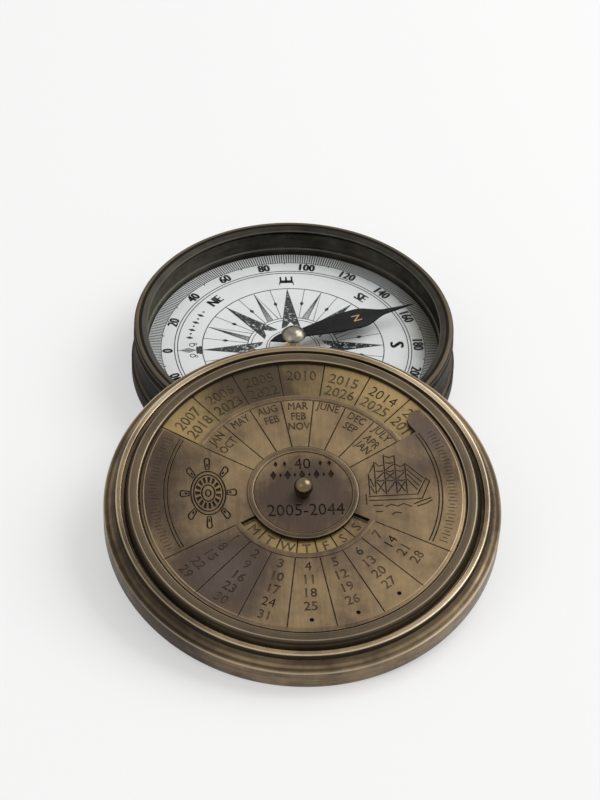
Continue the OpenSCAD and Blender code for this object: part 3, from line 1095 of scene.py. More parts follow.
        self.year_brass = replace(
            brushed, name="year_brass", place=LID_PLACE, bright=(0.298, 0.208, 0.094),
            dark=(0.059, 0.043, 0.027), grime=(0.028, 0.020, 0.012), tarnish=0.57,
            engraving=(YearPlate.top, YearPlate.outer),
            patches=(
                Patch(-25.0, 17.0, 9.0, -0.45), Patch(15.0, 28.0, 12.0, -0.40),
                Patch(23.0, 21.0, 10.0, -0.35), Patch(-8.0, 29.0, 16.0, 0.65),
                Patch(0.0, -13.0, 14.0, -0.40),
            ),
            # Painted shadow of the surround along the plate's outer edge.
            dirt=(Band(33.0, 0.5, 0.8),),
        ).material()

    def small_finishes(self) -> None:
        """Makes the finishes of the knob, the needle and the hidden pieces."""
        self.knob_brass = AgedMetal(
            "polished_brass", LID_PLACE, (0.186, 0.144, 0.081), (0.084, 0.063, 0.036),
            tarnish=0.4, roughness=0.2, metallic=1.0, relief=0.004,
        ).material()
        self.cap_brass = AgedMetal(
            "pale_brass", BOX_PLACE, (0.30, 0.279, 0.219), (0.128, 0.114, 0.086),
            tarnish=0.4, roughness=0.24, metallic=1.0, relief=0.006,
        ).material()
        self.plain_brass = AgedMetal(
            "plain_brass", BOX_PLACE, (0.50, 0.38, 0.19), (0.22, 0.16, 0.09), tarnish=0.35,
        ).material()
        self.steel = AgedMetal(
            "steel", BOX_PLACE, (0.50, 0.50, 0.50), (0.26, 0.25, 0.24), tarnish=0.3,
        ).material()
        self.blade = AgedMetal(
            "blued_steel", BOX_PLACE, (0.012, 0.012, 0.0115), (0.0055, 0.0055, 0.0055),
            grain=Grain.STRAIGHT, roughness=0.55, metallic=0.1, gloss=0.15,
        ).material()
        self.gilt = AgedMetal(
            "gilt", BOX_PLACE, (0.52, 0.36, 0.17), (0.30, 0.20, 0.10), tarnish=0.3,
        ).material()
        self.stone = Stone("jewel", (0.30, 0.02, 0.05), (0.12, 0.01, 0.02)).material()

    def card_finishes(self) -> None:
        """Makes the card, its inks and the glass over it."""
        self.ink = Ink("dial_ink", (0.012, 0.012, 0.012), (0.05, 0.05, 0.05)).material()
        self.grey_ink = Ink("grey_ink", (0.22, 0.23, 0.22), (0.36, 0.37, 0.36)).material()
        self.marbled = Marbled(
            "marbled_print", (0.007, 0.009, 0.009), (0.026, 0.034, 0.034), (0.44, 0.48, 0.475)
        ).material()
        # Its third colour is the painted shade of the box's wall along one side.
        self.card = CardStock(
            "card", (0.68, 0.70, 0.695), (0.61, 0.63, 0.62), (0.23, 0.225, 0.165)
        ).material()
        self.glass = ClearGlass("glass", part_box("glass")[1][0] / MM).material()


@dataclass
class CompassBox:
    """The turned box with its rings and glass."""

    foot: float = 34.8
    foot_edge: float = 0.5
    foot_top: float = 4.4
    wall: float = 34.05
    bead: Triple = (33.45, 10.35, 0.85)
    groove: tuple[float, ...] = (11.2, 11.43, 11.67, 11.9)
    groove_depth: float = 0.5
    rim: float = 34.2
    rim_edge: float = 0.4
    height: float = 13.2
    bore: float = 32.85
    floor: float = 4.9
    bush_seat: Point = (2.03, 2.7)
    stack: float = 32.82
    dial_top: float = 6.0
    clamp_top: float = 7.6
    clamp_width: float = 1.55
    clamp_edge: float = 0.25
    tube_wall: float = 1.0
    glass_bottom: float = 11.55
    glass_top: float = 12.45
    bezel_width: float = 1.5
    bezel_height: float = 0.7
    bezel_flat: float = 0.3
    bezel_lip: float = 0.2
    bevel: float = 0.06

    def body_profile(self) -> Profile:
        """Draws the box's section, from the middle of its underside outwards.

        Returns:
            The corners.
        """
        middle, level, radius = self.bead
        reach = math.degrees(math.acos((self.wall - middle) / radius))
        below, deep, deep_end, above = self.groove
        waist = self.rim - self.groove_depth
        return [
            (0.0, 0.0), (self.foot - self.foot_edge, 0.0, 0.12), (self.foot, self.foot_edge, 0.15),
            (self.foot, self.foot_top - self.foot_edge, 0.12), (self.wall, self.foot_top, 0.08),
            *bow((middle, level), radius, -reach, reach, 8.0),
            (self.wall, below, 0.05), (waist, deep), (waist, deep_end), (self.rim, above, 0.12),
            (self.rim, self.height - self.rim_edge, 0.15),
            (self.rim - self.rim_edge, self.height, 0.15), (self.bore, self.height, 0.08),
            (self.bore, self.floor), (self.bush_seat[0], self.floor), self.bush_seat,
            (0.0, self.bush_seat[1]),
        ]

    def ring_profiles(self) -> tuple[Profile, Profile, Profile]:
        """Draws the sections of the rings that lie in the box.

        Returns:
            The card's clamp, the tube that carries the glass, and the bezel over it.
        """
        stack, bevel = self.stack, self.bevel
        inner = stack - self.clamp_width
        clamp = [
            (inner, self.dial_top), (stack, self.dial_top), (stack, self.clamp_top),
            (inner + self.clamp_edge, self.clamp_top, bevel),
            (inner, self.clamp_top - self.clamp_edge, bevel),
        ]
        tube = bar(stack - self.tube_wall, self.clamp_top, stack, self.glass_bottom)
        lip, top = stack - self.bezel_width, self.glass_top + self.bezel_height
        bezel = [
            (lip, self.glass_top), (stack, self.glass_top), (stack, top, bevel),
            (stack - self.bezel_flat, top, bevel), (lip, self.glass_top + self.bezel_lip, bevel),
        ]
        return clamp, tube, bezel

    def build(self, finishes: Finishes) -> None:
        """Builds the box and its rings, and dresses the nodes that stay.

        Args:
            finishes: The finishes.
        """
        install(
            "box_body", lathe(self.body_profile(), closed=False), finishes.bronze, "case",
            stands_for=["case_body"],
        )
        clamp, tube, bezel = self.ring_profiles()
        for name, profile, finish, slot, node in (
            ("card_clamp", clamp, finishes.inner_wall, "dark_bronze", "dial_ring"),
            ("glass_tube", tube, finishes.inner_wall, "dark_bronze", "glass_spacer"),
            ("glass_bezel", bezel, finishes.black_ring, "black_ring", "retaining_ring"),
        ):
            install(name, lathe(profile), finish, "case", stands_for=[node])
        dress("glass", finishes.glass)
        dress("dial_plate", finishes.plain_brass)
        dress("pivot_bush", finishes.plain_brass)
        dress("pivot_pin", finishes.steel)


@dataclass
class DialCard:
    """The printed card: scale, figures, letters and compass rose."""

    face: float = 6.0
    print_height: float = 0.03
    turn: float = 5.5
    scale: Point = (28.55, 31.2)
    tick_width: float = 0.22
    long_tick: float = 0.55
    figure_radius: float = 27.05
    figure_size: float = 2.3
    figure_width: float = 0.82
    figure_weight: float = 0.15
    letter_radius: float = 22.5
    letter_size: float = 3.0
    letter_weight: float = 0.27
    serif: Point = (0.55, 0.1)
    pair_radius: float = 22.7
    pair_size: float = 2.4
    pair_width: float = 0.8
    pair_weight: float = 0.17
    rose: float = 19.6
    hub: float = 9.6
    hatched_half: float = 1.3
    hatch_lines: int = 6
    hatch_halves: Point = (0.075, 0.045)
    hatch_tip: float = 0.02
    thin_half: float = 0.06
    thin_lozenge: Triple = (14.75, 0.8, 0.42)
    circles: tuple[Point, ...] = (
        (28.45, 0.14), (25.57, 0.19), (24.9, 0.19), (19.6, 0.2), (9.85, 0.17), (9.1, 0.15),
        (5.75, 0.15), (5.2, 0.15),
    )

    def direction(self, bearing: float) -> float:
        """The direction of a bearing, as an angle from +X; north lies to the left."""
        return 180.0 + self.turn - bearing

    def shape(self, outlines: Iterable[Outline], layer: int = 1) -> bpy.types.Mesh:
        """Flat print in the given outlines."""
        return sheet(outlines, self.face - OVERLAP, self.face + self.print_height * layer)

    def spoke(self, bearing: float, points: Iterable[Point]) -> Outline:
        """An outline given along and across a bearing."""
        return moved(points, (0.0, 0.0), self.direction(bearing))

    def mark(self, bearing: float, points: Iterable[Point], layer: int = 1) -> bpy.types.Mesh:
        """Flat print in one outline, given along and across a bearing."""
        return self.shape([self.spoke(bearing, points)], layer)

    def ticks(self) -> bpy.types.Mesh:
        """Prints the degree scale.

        Returns:
            The ticks.
        """
        work = bmesh.new()
        inner, outer = self.scale
        for degree in range(360):
            long = self.long_tick if degree % 10 == 0 else 0.0
            middle = (outer + inner - long) / 2
            size = Matrix.Diagonal((outer - inner + long, self.tick_width, self.print_height, 1.0))
            place = Matrix.Translation((middle, 0.0, self.face + self.print_height / 2))
            turned = Matrix.Rotation(math.radians(self.direction(degree)), 4, "Z")
            bmesh.ops.create_cube(work, size=1.0, matrix=turned @ place @ size)
        return finished(work, "ticks")

    def rings(self) -> bpy.types.Mesh:
        """The printed circles."""
        low, high = self.face - OVERLAP, self.face + self.print_height
        return gathered(lathe(bar(r - w / 2, low, r + w / 2, high)) for r, w in self.circles)

    def bold(self, legend: Legend, weight: float) -> list[bpy.types.Mesh]:
        """Prints type with heavy uprights and light level strokes.

        Args:
            legend: The type.
            weight: How much its uprights gain to either side.

        Returns:
            The type, printed three times side by side.
        """
        low, high = self.face - OVERLAP, self.face + self.print_height
        return [
            replace(legend, centre=moved([(shift, 0.0)], legend.centre, legend.turn)[0])
            .mesh(low, (low + high) / 2)
            for shift in (-weight, 0.0, weight)
        ]

    def figures(self) -> bpy.types.Mesh:
        """Prints the degree figures, with their tops outwards.

        Returns:
            The figures.
        """
        made = []
        for degree in range(0, 360, 20):
            angle = self.direction(degree)
            spot = polar(self.figure_radius, angle)
            legend = Legend(str(degree), spot, self.figure_size, angle - 90.0, self.figure_width)
            made += self.bold(legend, self.figure_weight)
        return gathered(made)

    def letters(self) -> bpy.types.Mesh:
        """Prints the quarters' letters, upright with north at the top, and the pairs between.

        Returns:
            The letters.
        """
        made = []
        upright = 90.0 + self.turn
        ends = {"E": ((-1.1, 1.5), (-1.1, -1.5)), "S": (), "W": ((-1.9, 1.5), (1.9, 1.5))}
        for bearing, letter in ((90, "E"), (180, "S"), (270, "W")):
            centre = polar(self.letter_radius, self.direction(bearing))
            made += self.bold(
                Legend(letter, centre, self.letter_size, upright), self.letter_weight
            )
            half, thick = self.serif
            for x, y in ends[letter]:
                serif = bar(x - half, y - thick, x + half, y + thick)
                made.append(self.shape([moved(serif, centre, upright)]))
        for bearing, pair in ((45, "NE"), (135, "SE"), (225, "SW"), (315, "NW")):
            angle = self.direction(bearing)
            spot = polar(self.pair_radius, angle)
            legend = Legend(pair, spot, self.pair_size, angle - 90.0, self.pair_width)
            made += self.bold(legend, self.pair_weight)
        return gathered(made)

    def points(self, grow: float, layer: int) -> bpy.types.Mesh:
        """Prints the rose's eight points with swallow tails.

        Args:
            grow: How far their edges are moved out.
            layer: The layer of print.

        Returns:
            The points.
        """
        outline = whole([
            (self.rose - 0.35 + grow * 4.0, 0.0), (self.hub, 1.5 + grow),
            (6.4 - grow, 2.0 + grow), (6.9, 1.0), (8.6 - grow, 0.0),
        ])
        return gathered(self.mark(45.0 * k, outline, layer) for k in range(8))

    def hatched(self) -> bpy.types.Mesh:
        """Prints the eight half-hatched points, and the thin lines with lozenges between.

        Returns:
            The points and lines.
        """
        made = []
        base, tip, end = self.hub + 0.25, self.rose - 0.1, self.hatch_tip
        edge, fine = self.hatch_halves
        for k in range(8):
            for i in (-self.hatch_lines, *range(self.hatch_lines + 1)):
                y = self.hatched_half * i / self.hatch_lines
                half = edge if i % self.hatch_lines == 0 else fine
                points = [(base, y - half), (tip, -end), (tip, end), (base, y + half)]
                made.append(self.mark(22.5 + 45.0 * k, points))
        middle, wide, tall = self.thin_lozenge
        line = bar(base, -self.thin_half, tip, self.thin_half)
        for k in range(16):
            for part in (line, lozenge(middle, 0.0, wide, tall)):
                made.append(self.mark(11.25 + 22.5 * k, part))
        return gathered(made)

    def lily(self) -> tuple[bpy.types.Mesh, bpy.types.Mesh]:
        """Prints the lily that marks north.

        Returns:
            Its grey petal, and its black bar, rib and curls.
        """
        petal = whole([(20.9, 0.0), (21.7, 0.45), (22.5, 0.85), (23.1, 0.6), (24.5, 0.0)])
        base = whole([(19.6, 1.1), (20.0, 1.35), (20.4, 1.05), (20.8, 1.25), (20.9, 0.6)])
        rib = [(20.8, -0.06), (25.1, -0.04), (25.1, 0.04), (20.8, 0.06)]
        made = [self.mark(0.0, base[::-1]), self.mark(0.0, rib, layer=2)]
        for side in (1.0, -1.0):
            for centre, radii in (((21.75, 1.75), (0.62, 0.42)), ((20.95, 2.0), (0.36, 0.2))):
                loops = [bow(centre, radius, 0.0, 340.0, 20.0) for radius in radii]
                made.append(self.shape(
                    self.spoke(0.0, [(x, y * side) for x, y in loop]) for loop in loops
                ))
        return self.mark(0.0, petal), gathered(made)

    def ornament(self) -> bpy.types.Mesh:
        """Prints a run of lozenges and dots between the lily and the next letters.

        Returns:
            The lozenges and dots.
        """
        halves = ((0.85, 0.42), (0.3, 0.3))
        return gathered(
            self.mark(10.5 + 3.3 * i, lozenge(self.letter_radius, 0.0, *halves[i % 2]))
            for i in range(8)
        )

    def build(self, finishes: Finishes) -> None:
        """Prints the card.

        Args:
            finishes: The finishes.
        """
        dress("dial_card", finishes.card)
        petal, base = self.lily()
        for name, mesh, finish in (
            ("scale_ticks", self.ticks(), finishes.ink),
            ("card_circles", self.rings(), finishes.ink),
            ("scale_figures", self.figures(), finishes.ink),
            ("card_letters", self.letters(), finishes.ink),
            ("rose_point_edges", self.points(0.08, 2), finishes.ink),
            ("rose_points", self.points(-0.16, 3), finishes.marbled),
            ("rose_lines", self.hatched(), finishes.ink),
            ("north_petal", petal, finishes.grey_ink),
            ("north_bar", base, finishes.ink),
            ("card_ornament", self.ornament(), finishes.ink),
        ):
            install(name, mesh, finish, "case")


@dataclass
class Needle:
    """The blade, its cap and the bearing stone."""

    bottom: float = 9.35
    top: float = 9.8
    edge: float = 0.07
    heading: float = 24.4
    reach: float = 28.2
    tail: float = 5.4
    widest_at: float = 15.4
    widest: float = 5.8
    waist: float = 2.6
    spike_at: float = 22.2
    spike: float = 1.2
    neck: float = 2.7
    hub: float = 2.4
    bore: float = 1.73
    letter: Legend = Legend("N", (14.8, 0.0), 2.0, -90.0)
    cap_top: float = 11.3
    skirt: Point = (1.7, 8.45)
    socket: Point = (1.33, 10.35)

    def side(self, steps: int = 12) -> Outline:
        """Draws one side of the blade, from the tip to the tail.

        Args:
            steps: How many runs make up each of its two curves.

        Returns:
            The side's points.
        """
        points = []
        for i in range(steps, 0, -1):
            along = self.widest_at + (self.spike_at - self.widest_at) * i / steps
            swell = (1.0 + math.cos(math.pi * i / steps)) / 2
            points.append((along, (self.spike + (self.widest - self.spike) * swell) / 2))
        for i in range(steps, -1, -1):
            along = self.neck + (self.widest_at - self.neck) * i / steps
            swell = math.sin(math.pi / 2 * i / steps)
            points.append((along, (self.waist + (self.widest - self.waist) * swell) / 2))
        half = self.waist / 2
        meet = math.degrees(math.asin(half / self.hub))
        return points + arc(self.hub, meet, 180.0 - meet, 10.0) + [(-self.neck, half)]

    def cap_profile(self) -> Profile:
        """Draws the cap's section, from the top of its dome to the top of its socket.

        Returns:
            The corners.
        """
        rise = self.cap_top - self.top
        dome = (self.neck ** 2 + rise ** 2) / (2 * rise)
        spread = math.degrees(math.asin(self.neck / dome))
        crown = bow((0.0, self.cap_top - dome), dome, 90.0, 90.0 - spread, 4.0)
        (skirt, foot), (socket, roof) = self.skirt, self.socket
        return [
            (0.0, self.cap_top), *crown[1:], (skirt, self.top), (skirt, foot, 0.05),
            (socket, foot, 0.05), (socket, roof), (0.0, roof),
        ]

    def build(self, finishes: Finishes) -> None:
        """Builds the needle.

        Args:
            finishes: The finishes.
        """
        outline = whole([(self.reach, 0.0), *self.side(), (-self.tail, 0.0)])
        blade = sheet([outline, circle(self.bore, 10.0)], self.bottom, self.top, self.edge)
        turned = BOX_PLACE.spun(self.heading)
        install("needle_blade", blade, finishes.blade, "needle", turned, ["needle"])
        letter = self.letter.mesh(self.top - OVERLAP, self.top)
        install("needle_letter", letter, finishes.gilt, "needle", turned)
        install("needle_dome", lathe(self.cap_profile(), closed=False), finishes.cap_brass,
                "needle", stands_for=["needle_cap"])
        dress("needle_jewel", finishes.stone)


@dataclass
class Lid:
    """The turned lid, its bush and the surround of the calendar."""

    radius: float = 40.0
    band: float = 5.2
    edge: float = 0.3
    cove: float = 2.0
    rib: Triple = (36.4, 37.6, 7.9)
    rib_edge: float = 0.15
    valley: Point = (35.9, 7.0)
    seat: Point = (35.325, 8.15)
    recess: Point = (34.25, 7.35)
    bush_bore: float = 2.23
    mouth: Point = (35.2, 3.4)
    hollow: Point = (33.2, 5.6)
    surround: Triple = (33.0, 34.85, 9.1)
    surround_edge: float = 0.2
    surround_flare: float = 0.1

    def profile(self) -> Profile:
        """Draws the lid's section, from the mouth's edge outwards and back.

        Returns:
            The corners.
        """
        shoulder, crest = self.radius - self.edge, self.band + self.cove
        inner, outer, top = self.rib
        brow = top - self.rib_edge
        (mouth, ledge), (hollow, roof) = self.mouth, self.hollow
        return [
            (mouth, 0.0, 0.1), (shoulder, 0.0, 0.1), (self.radius, self.edge, 0.1),
            (self.radius, self.band - self.edge, 0.1), (shoulder, self.band, 0.06),
            *bow((shoulder, crest), self.cove, 267.0, 182.0, 7.0),
            (outer, crest), (outer, brow, 0.05), (outer - self.rib_edge, top, 0.05),
            (inner + self.rib_edge, top, 0.05), (inner, brow, 0.05),
            (inner, self.valley[1]), self.valley, self.seat, (self.recess[0], self.seat[1]),
            self.recess, (self.bush_bore, self.recess[1]), (self.bush_bore, roof),
            (hollow, roof, 0.2), (hollow, ledge, 0.1), (mouth, ledge, 0.1),
        ]

    def build(self, finishes: Finishes) -> None:
        """Builds the lid.

        Args:
            finishes: The finishes.
        """
        install("lid_turning", lathe(self.profile()), finishes.lid_brass, "lid",
                LID_PLACE, ["lid_shell"])
        inner, outer, top = self.surround
        edge = self.surround_edge
        ring = [
            (inner, self.seat[1]), self.seat, (outer + self.surround_flare, top - edge, 0.04),
            (outer - edge, top, 0.05), (inner + edge, top, 0.05), (inner, top - edge, 0.05),
        ]
        install("calendar_surround", lathe(ring), finishes.grey_brass, "lid",
                LID_PLACE, ["plate_surround"])
        dress("spindle_bush", finishes.plain_brass)


@dataclass
class YearPlate:
    """The fixed plate with the years and the weekdays, seen through the windows."""

    top: float = 8.15
    bottom: float = 7.35
    inner: float = 1.5
    outer: float = 34.22
    cells: int = 21
    line: float = 0.34
    year_turn: float = 89.2
    year_radius: float = 29.7
    year_row: float = 3.2
    year_size: float = 2.5
    year_width: float = 0.92
    year_lines: Point = (23.4, 32.9)
    years: tuple[tuple[str, ...], ...] = (
        ("2007", "2018"), ("2006", "2023"), ("2005", "2022"), ("2010",), ("2015", "2026"),
        ("2014", "2025"), ("2013", "2019"),
    )
    weekday_turn: float = 271.6
    weekday_radius: float = 12.95
    weekday_size: float = 2.1
    weekday_lines: Point = (10.8, 14.9)
    weekdays: str = "MTWTFSS"

    def build(self, finishes: Finishes) -> None:
        """Builds the plate and engraves it.

        Args:
            finishes: The finishes.
        """
        step = 360.0 / self.cells
        years, letters, lines = [], [], []
        for k in range(self.cells):
            aside = (k - WEEK // 2) * step
            angle = self.year_turn - aside
            for row, year in enumerate(self.years[k % WEEK]):
                spot = polar(self.year_radius - self.year_row * row, angle)
                years.append(Legend(year, spot, self.year_size, angle - 90.0, self.year_width))
            lines.append(ray(*self.year_lines, angle + step / 2))
            angle = self.weekday_turn + aside
            spot = polar(self.weekday_radius, angle)
            letters.append(Legend(self.weekdays[k % WEEK], spot, self.weekday_size, angle + 90.0))
            lines.append(ray(*self.weekday_lines, angle + step / 2))
        cutters = [
            gathered(legend.cutter(self.top, CUT) for legend in years + letters),
            strokes(lines, self.top, self.line),
        ]
        blank = sheet([circle(self.outer), circle(self.inner, 15.0)], self.bottom, self.top)
        install("years_and_weekdays", engraved(blank, cutters), finishes.year_brass, "lid",
                LID_PLACE, ["year_plate"], smooth=20.0)


@dataclass
class Calendar:
    """The turning plate with its engraving, its borders and its knob."""

    turn: float = 1.6
    bottom: float = 8.2
    top: float = 9.0
    edge: float = 0.06
    radius: float = 32.6
    bevel: Point = (0.7, 0.4)
    bore: float = 1.23
    year_inner: float = 24.0
    window: Point = (31.0, 149.0)
    dates: Point = (208.0, 332.0)
    weekday: Point = (11.1, 14.6)
    border: float = 1.1
    border_height: float = 0.15
    border_edge: float = 0.07
    border_sunk: float = 0.1
    cutter_rise: float = 0.1
    tab_inner: float = 27.6
    tab_end: float = 34.84
    line: float = 0.34
    line_gap: float = 0.15
    rim_gap: float = 0.4
    months: tuple[tuple[str, ...], ...] = (
        ("JAN", "OCT"), ("MAY",), ("AUG", "FEB"), ("MAR", "FEB", "NOV"), ("JUNE",),
        ("DEC", "SEP"), ("JULY", "APR", "JAN"),
    )
    month_radius: float = 21.4
    month_row: float = 2.55
    month_size: float = 1.85
    month_width: float = 0.8
    date_radius: float = 17.6
    date_row: float = 3.1
    date_size: float = 2.1
    titles: tuple[Legend, ...] = (
        Legend("2005-2044", (0.3, -4.2), 2.9, 0.0, 0.9), Legend("40", (0.2, 7.0), 2.7, 0.0, 0.93),
    )
    side_gap: float = 1.2
    side_lines: Point = (27.2, 27.9)
    hatching: Point = (29.0, 30.8)
    hatch_count: int = 34
    hatch_margin: float = 2.0
    hatch_stagger: float = 0.35
    hatch_line: float = 0.24
    wheel: Point = (-19.0, 0.5)
    wheel_scale: Point = (0.87, 1.31)
    wheel_rings: tuple[float, ...] = (4.0, 3.35, 1.5, 0.6)
    wheel_cells: int = 15
    wheel_line: float = 0.42
    ship: Point = (19.2, 1.3)
    dot: Point = (0.45, 0.8)
    dot_inset: float = 2.5
    ball: float = 1.95
    ball_level: float = 10.95
    knob_neck: Point = (1.55, 9.5)
    spindle: Point = (1.2, 3.95)

    @property
    def month_step(self) -> float:
        """The angle from one month column to the next."""
        return (self.window[1] - self.window[0]) / WEEK

    @property
    def date_step(self) -> float:
        """The angle from one date column to the next."""
        return (self.dates[1] - self.dates[0]) / WEEK

    def outline(self) -> Outline:
        """Draws the plate's edge, with the year window and the thumb tab.

        Returns:
            The outline.
        """
        (start, end), tip = self.window, self.tab_end
        middle, half = (self.radius + self.tab_inner) / 2, (self.radius - self.tab_inner) / 2
        return [
            *arc(self.radius, end, 360.0 + tip, 1.5),
            *bow(polar(middle, tip), half, tip + 8.0, tip + 172.0, 10.0),
            *arc(self.tab_inner, tip, start), *arc(self.year_inner, start, end, 1.5),
        ]

    def legends(self) -> list[Legend]:
        """Sets out the months and the dates.

        Returns:
            Their legends.
        """
        made = []
        for k, names in enumerate(self.months):
            angle = self.window[1] - self.month_step * (k + 0.5)
            for row, name in enumerate(names):
                spot = polar(self.month_radius - self.month_row * row, angle)
                made.append(Legend(name, spot, self.month_size, angle - 90.0, self.month_width))
        for day in range(1, LAST_DAY + 1):
            row, column = divmod(day - 1, WEEK)
            angle = self.dates[0] + self.date_step * (column + 0.5)
            spot = polar(self.date_radius + self.date_row * row, angle)
            made.append(Legend(str(day), spot, self.date_size, angle + 90.0))
        return made

    def ruling(self) -> list[list[Outline]]:
        """Draws the lines that divide the plate, and the double lines of its two sides.

        Returns:
            Two sets of lines; none crosses another of its set.
        """
        centre, rim = self.weekday[0] + self.line_gap, self.radius - self.rim_gap
        above = self.year_inner - self.border - self.line_gap
        below = self.weekday[1] + self.border + self.line_gap
        spokes = [
            *(ray(centre, above, self.window[0] + self.month_step * k) for k in range(WEEK + 1)),
            *(ray(below, rim, self.dates[0] + self.date_step * k) for k in range(WEEK + 1)),
        ]
        return [spokes, [arc(r, *side) for side in self.sides() for r in self.side_lines]]

    def sides(self) -> list[Point]:
        """The angles between which the plate's two sides lie."""
        (start, end), (first, last), gap = self.window, self.dates, self.side_gap
        return [(end + gap, first - gap), (last - 360.0 + gap, start - gap)]

    def hatches(self) -> list[Outline]:
        """Draws the short strokes along the plate's two sides.

        Returns:
            The strokes.
        """
        made = []
        low, high = self.hatching
        for start, end in self.sides():
            span = end - start - 2 * self.hatch_margin
            for i in range(self.hatch_count):
                angle = start + self.hatch_margin + span * i / (self.hatch_count - 1)
                short = self.hatch_stagger * (i % 2)
                made.append(ray(low + short, high - short, angle))
        return made

    def on_wheel(self, points: Iterable[Point], degrees: float = 0.0) -> Outline:
        """Places points of the ship's wheel, which stands a little tall, on the plate.

        Args:
            points: The points, about the wheel's middle.
            degrees: How far they are turned first.

        Returns:
            The placed points.
        """
        (x0, y0), (wide, tall) = self.wheel, self.wheel_scale
        turned = moved(points, (0.0, 0.0), degrees)
        return [(x0 + x * wide, y0 + y * tall) for x, y in turned]

    def wheel_lines(self) -> list[list[Outline]]:
        """Draws the rings and the handles of the ship's wheel.

        Returns:
            Two sets of closed lines; those of a set stay apart.
        """
        grip = [(4.4, -0.4), (6.1, -0.58), (6.45, -0.3), (6.45, 0.3), (6.1, 0.58), (4.4, 0.4)]
        return [
            [self.on_wheel(circle(radius, 6.0)) for radius in self.wheel_rings],
            [self.on_wheel(grip, 45.0 * k) for k in range(8)],
        ]

    def wheel_hollows(self) -> list[Outline]:
        """Draws the sunk cells between the wheel's spokes, and a notch in each handle.

        Returns:
            The outlines.
        """
        cell = band_outline(1.85, 2.95, 5.0, 19.0)
        notch = [(4.75, -0.16), (5.35, -0.2), (5.35, 0.2), (4.75, 0.16)]
        pitch = 360.0 / self.wheel_cells
        return [
            *(self.on_wheel(cell, pitch * k) for k in range(self.wheel_cells)),
            *(self.on_wheel(notch, 45.0 * k) for k in range(8)),
        ]

    def ship_lines(self) -> list[list[Outline]]:
        """Draws a ship under full rigging on the sea.

        Returns:
            Sets of lines; none crosses another of its set.
        """
        hull = [
            [(-6.2, -2.7), (3.7, -2.4), (5.6, 1.4), (6.3, 0.7), (4.5, -3.5), (-6.2, -3.7)],
            [(-6.7, -2.2), (-6.7, -4.7)], [(-5.4, -4.9), (-3.4, -4.9)],
            [(-3.0, -5.3), (-1.8, -4.7), (-0.5, -5.2), (0.7, -4.6), (2.3, -5.4)],
            [(2.7, -4.8), (4.2, -4.1), (6.4, -3.3)], [(3.3, -5.3), (5.2, -4.7), (6.5, -3.9)],
            [(-5.0, -6.4), (-3.6, -6.4)], [(-1.8, -7.2), (-1.0, -6.6), (0.2, -6.9)],
        ]
        columns = (-4.6, -2.6, -0.4, 1.6)
        masts = [[(x, -2.2), (x, top)] for x, top in zip(columns, (5.6, 7.4, 7.2, 5.2))]
        masts.append([(-5.9, 2.8), (-5.9, -2.4)])
        yards, rising, falling = [], [], []
        tiers = (-2.1, 1.1, 3.4, 5.4)
        for column, (left, right) in enumerate(zip(columns, columns[1:])):
            west, east = left + 0.25, right - 0.25
            middle = (west + east) / 2
            # Only the middle sails reach the highest tier.
            for row in range(3 if column == 1 else 2):
                low, high = tiers[row], tiers[row + 1]
                yards.append([(west, high + 0.1), (middle, high - 0.15), (east, high + 0.1)])
                rising.append([(west, low + 0.35), (east, high - 0.35)])
                if (row + column) % 2 == 0:
                    falling.append([(west, high - 0.35), (east, low + 0.35)])
        stays = [
            *([(1.9, 4.9 - 1.2 * k), (5.2 - 0.5 * k, 1.5 - 0.95 * k)] for k in range(4)),
            [(-5.7, 3.0), (-4.8, 4.9)], [(-5.6, 1.6), (-4.9, -0.4)], [(-5.6, -0.2), (-4.9, -2.0)],
        ]
        flags = [
            [(-2.4, 7.1), (-1.5, 6.7), (-0.6, 7.0)], [(-4.3, 5.5), (-3.7, 4.6), (-2.9, 4.9)],
            [(-0.2, 5.0), (0.6, 4.4), (1.4, 4.8)],
        ]
        groups = (hull, masts, yards, rising, falling, stays, flags)
        return [[moved(line, self.ship) for line in group] for group in groups]

    def ornament(self) -> list[Outline]:
        """Draws lozenges beside the number and in a row above the knob.

        Returns:
            The outlines.
        """
        spots = [(x, 7.0, 0.75) for x in (-5.2, -3.4, 3.8, 5.6)]
        spots += [(1.45 * (i - 4), 4.3, 1.15 if i % 2 == 0 else 0.5) for i in range(9)]
        return [lozenge(x, y, tall * 0.55, tall) for x, y, tall in spots]

    def dots(self) -> bpy.types.Mesh:
        """Makes the drills for the three dots below the dates.

        Returns:
            The drills.
        """
        work = bmesh.new()
        radius, depth = self.dot
        for column in range(3):
            x, y = polar(self.radius - self.dot_inset, 270.0 + column * self.date_step)
            bmesh.ops.create_cone(
                work, cap_ends=True, segments=24, radius1=radius, radius2=radius, depth=depth,
                matrix=Matrix.Translation((x, y, self.top)),
            )
        return finished(work, "dots")

    def rim_cutter(self, clear: float = 0.4, past: float = 1.5) -> bpy.types.Mesh:
        """Makes the cutter that bevels the plate's rim.

        Args:
            clear: How far it stands above the face, and below the bevel.
            past: How far it reaches past the rim.

        Returns:
            The cutter.
        """
        wide, tall = self.bevel
        spread = clear * wide / tall
        low, high, outer = self.top - tall - clear, self.top + clear, self.radius + past
        return lathe([
            (self.radius - wide - spread, high), (self.radius + spread, low), (outer, low),
            (outer, high),
        ])

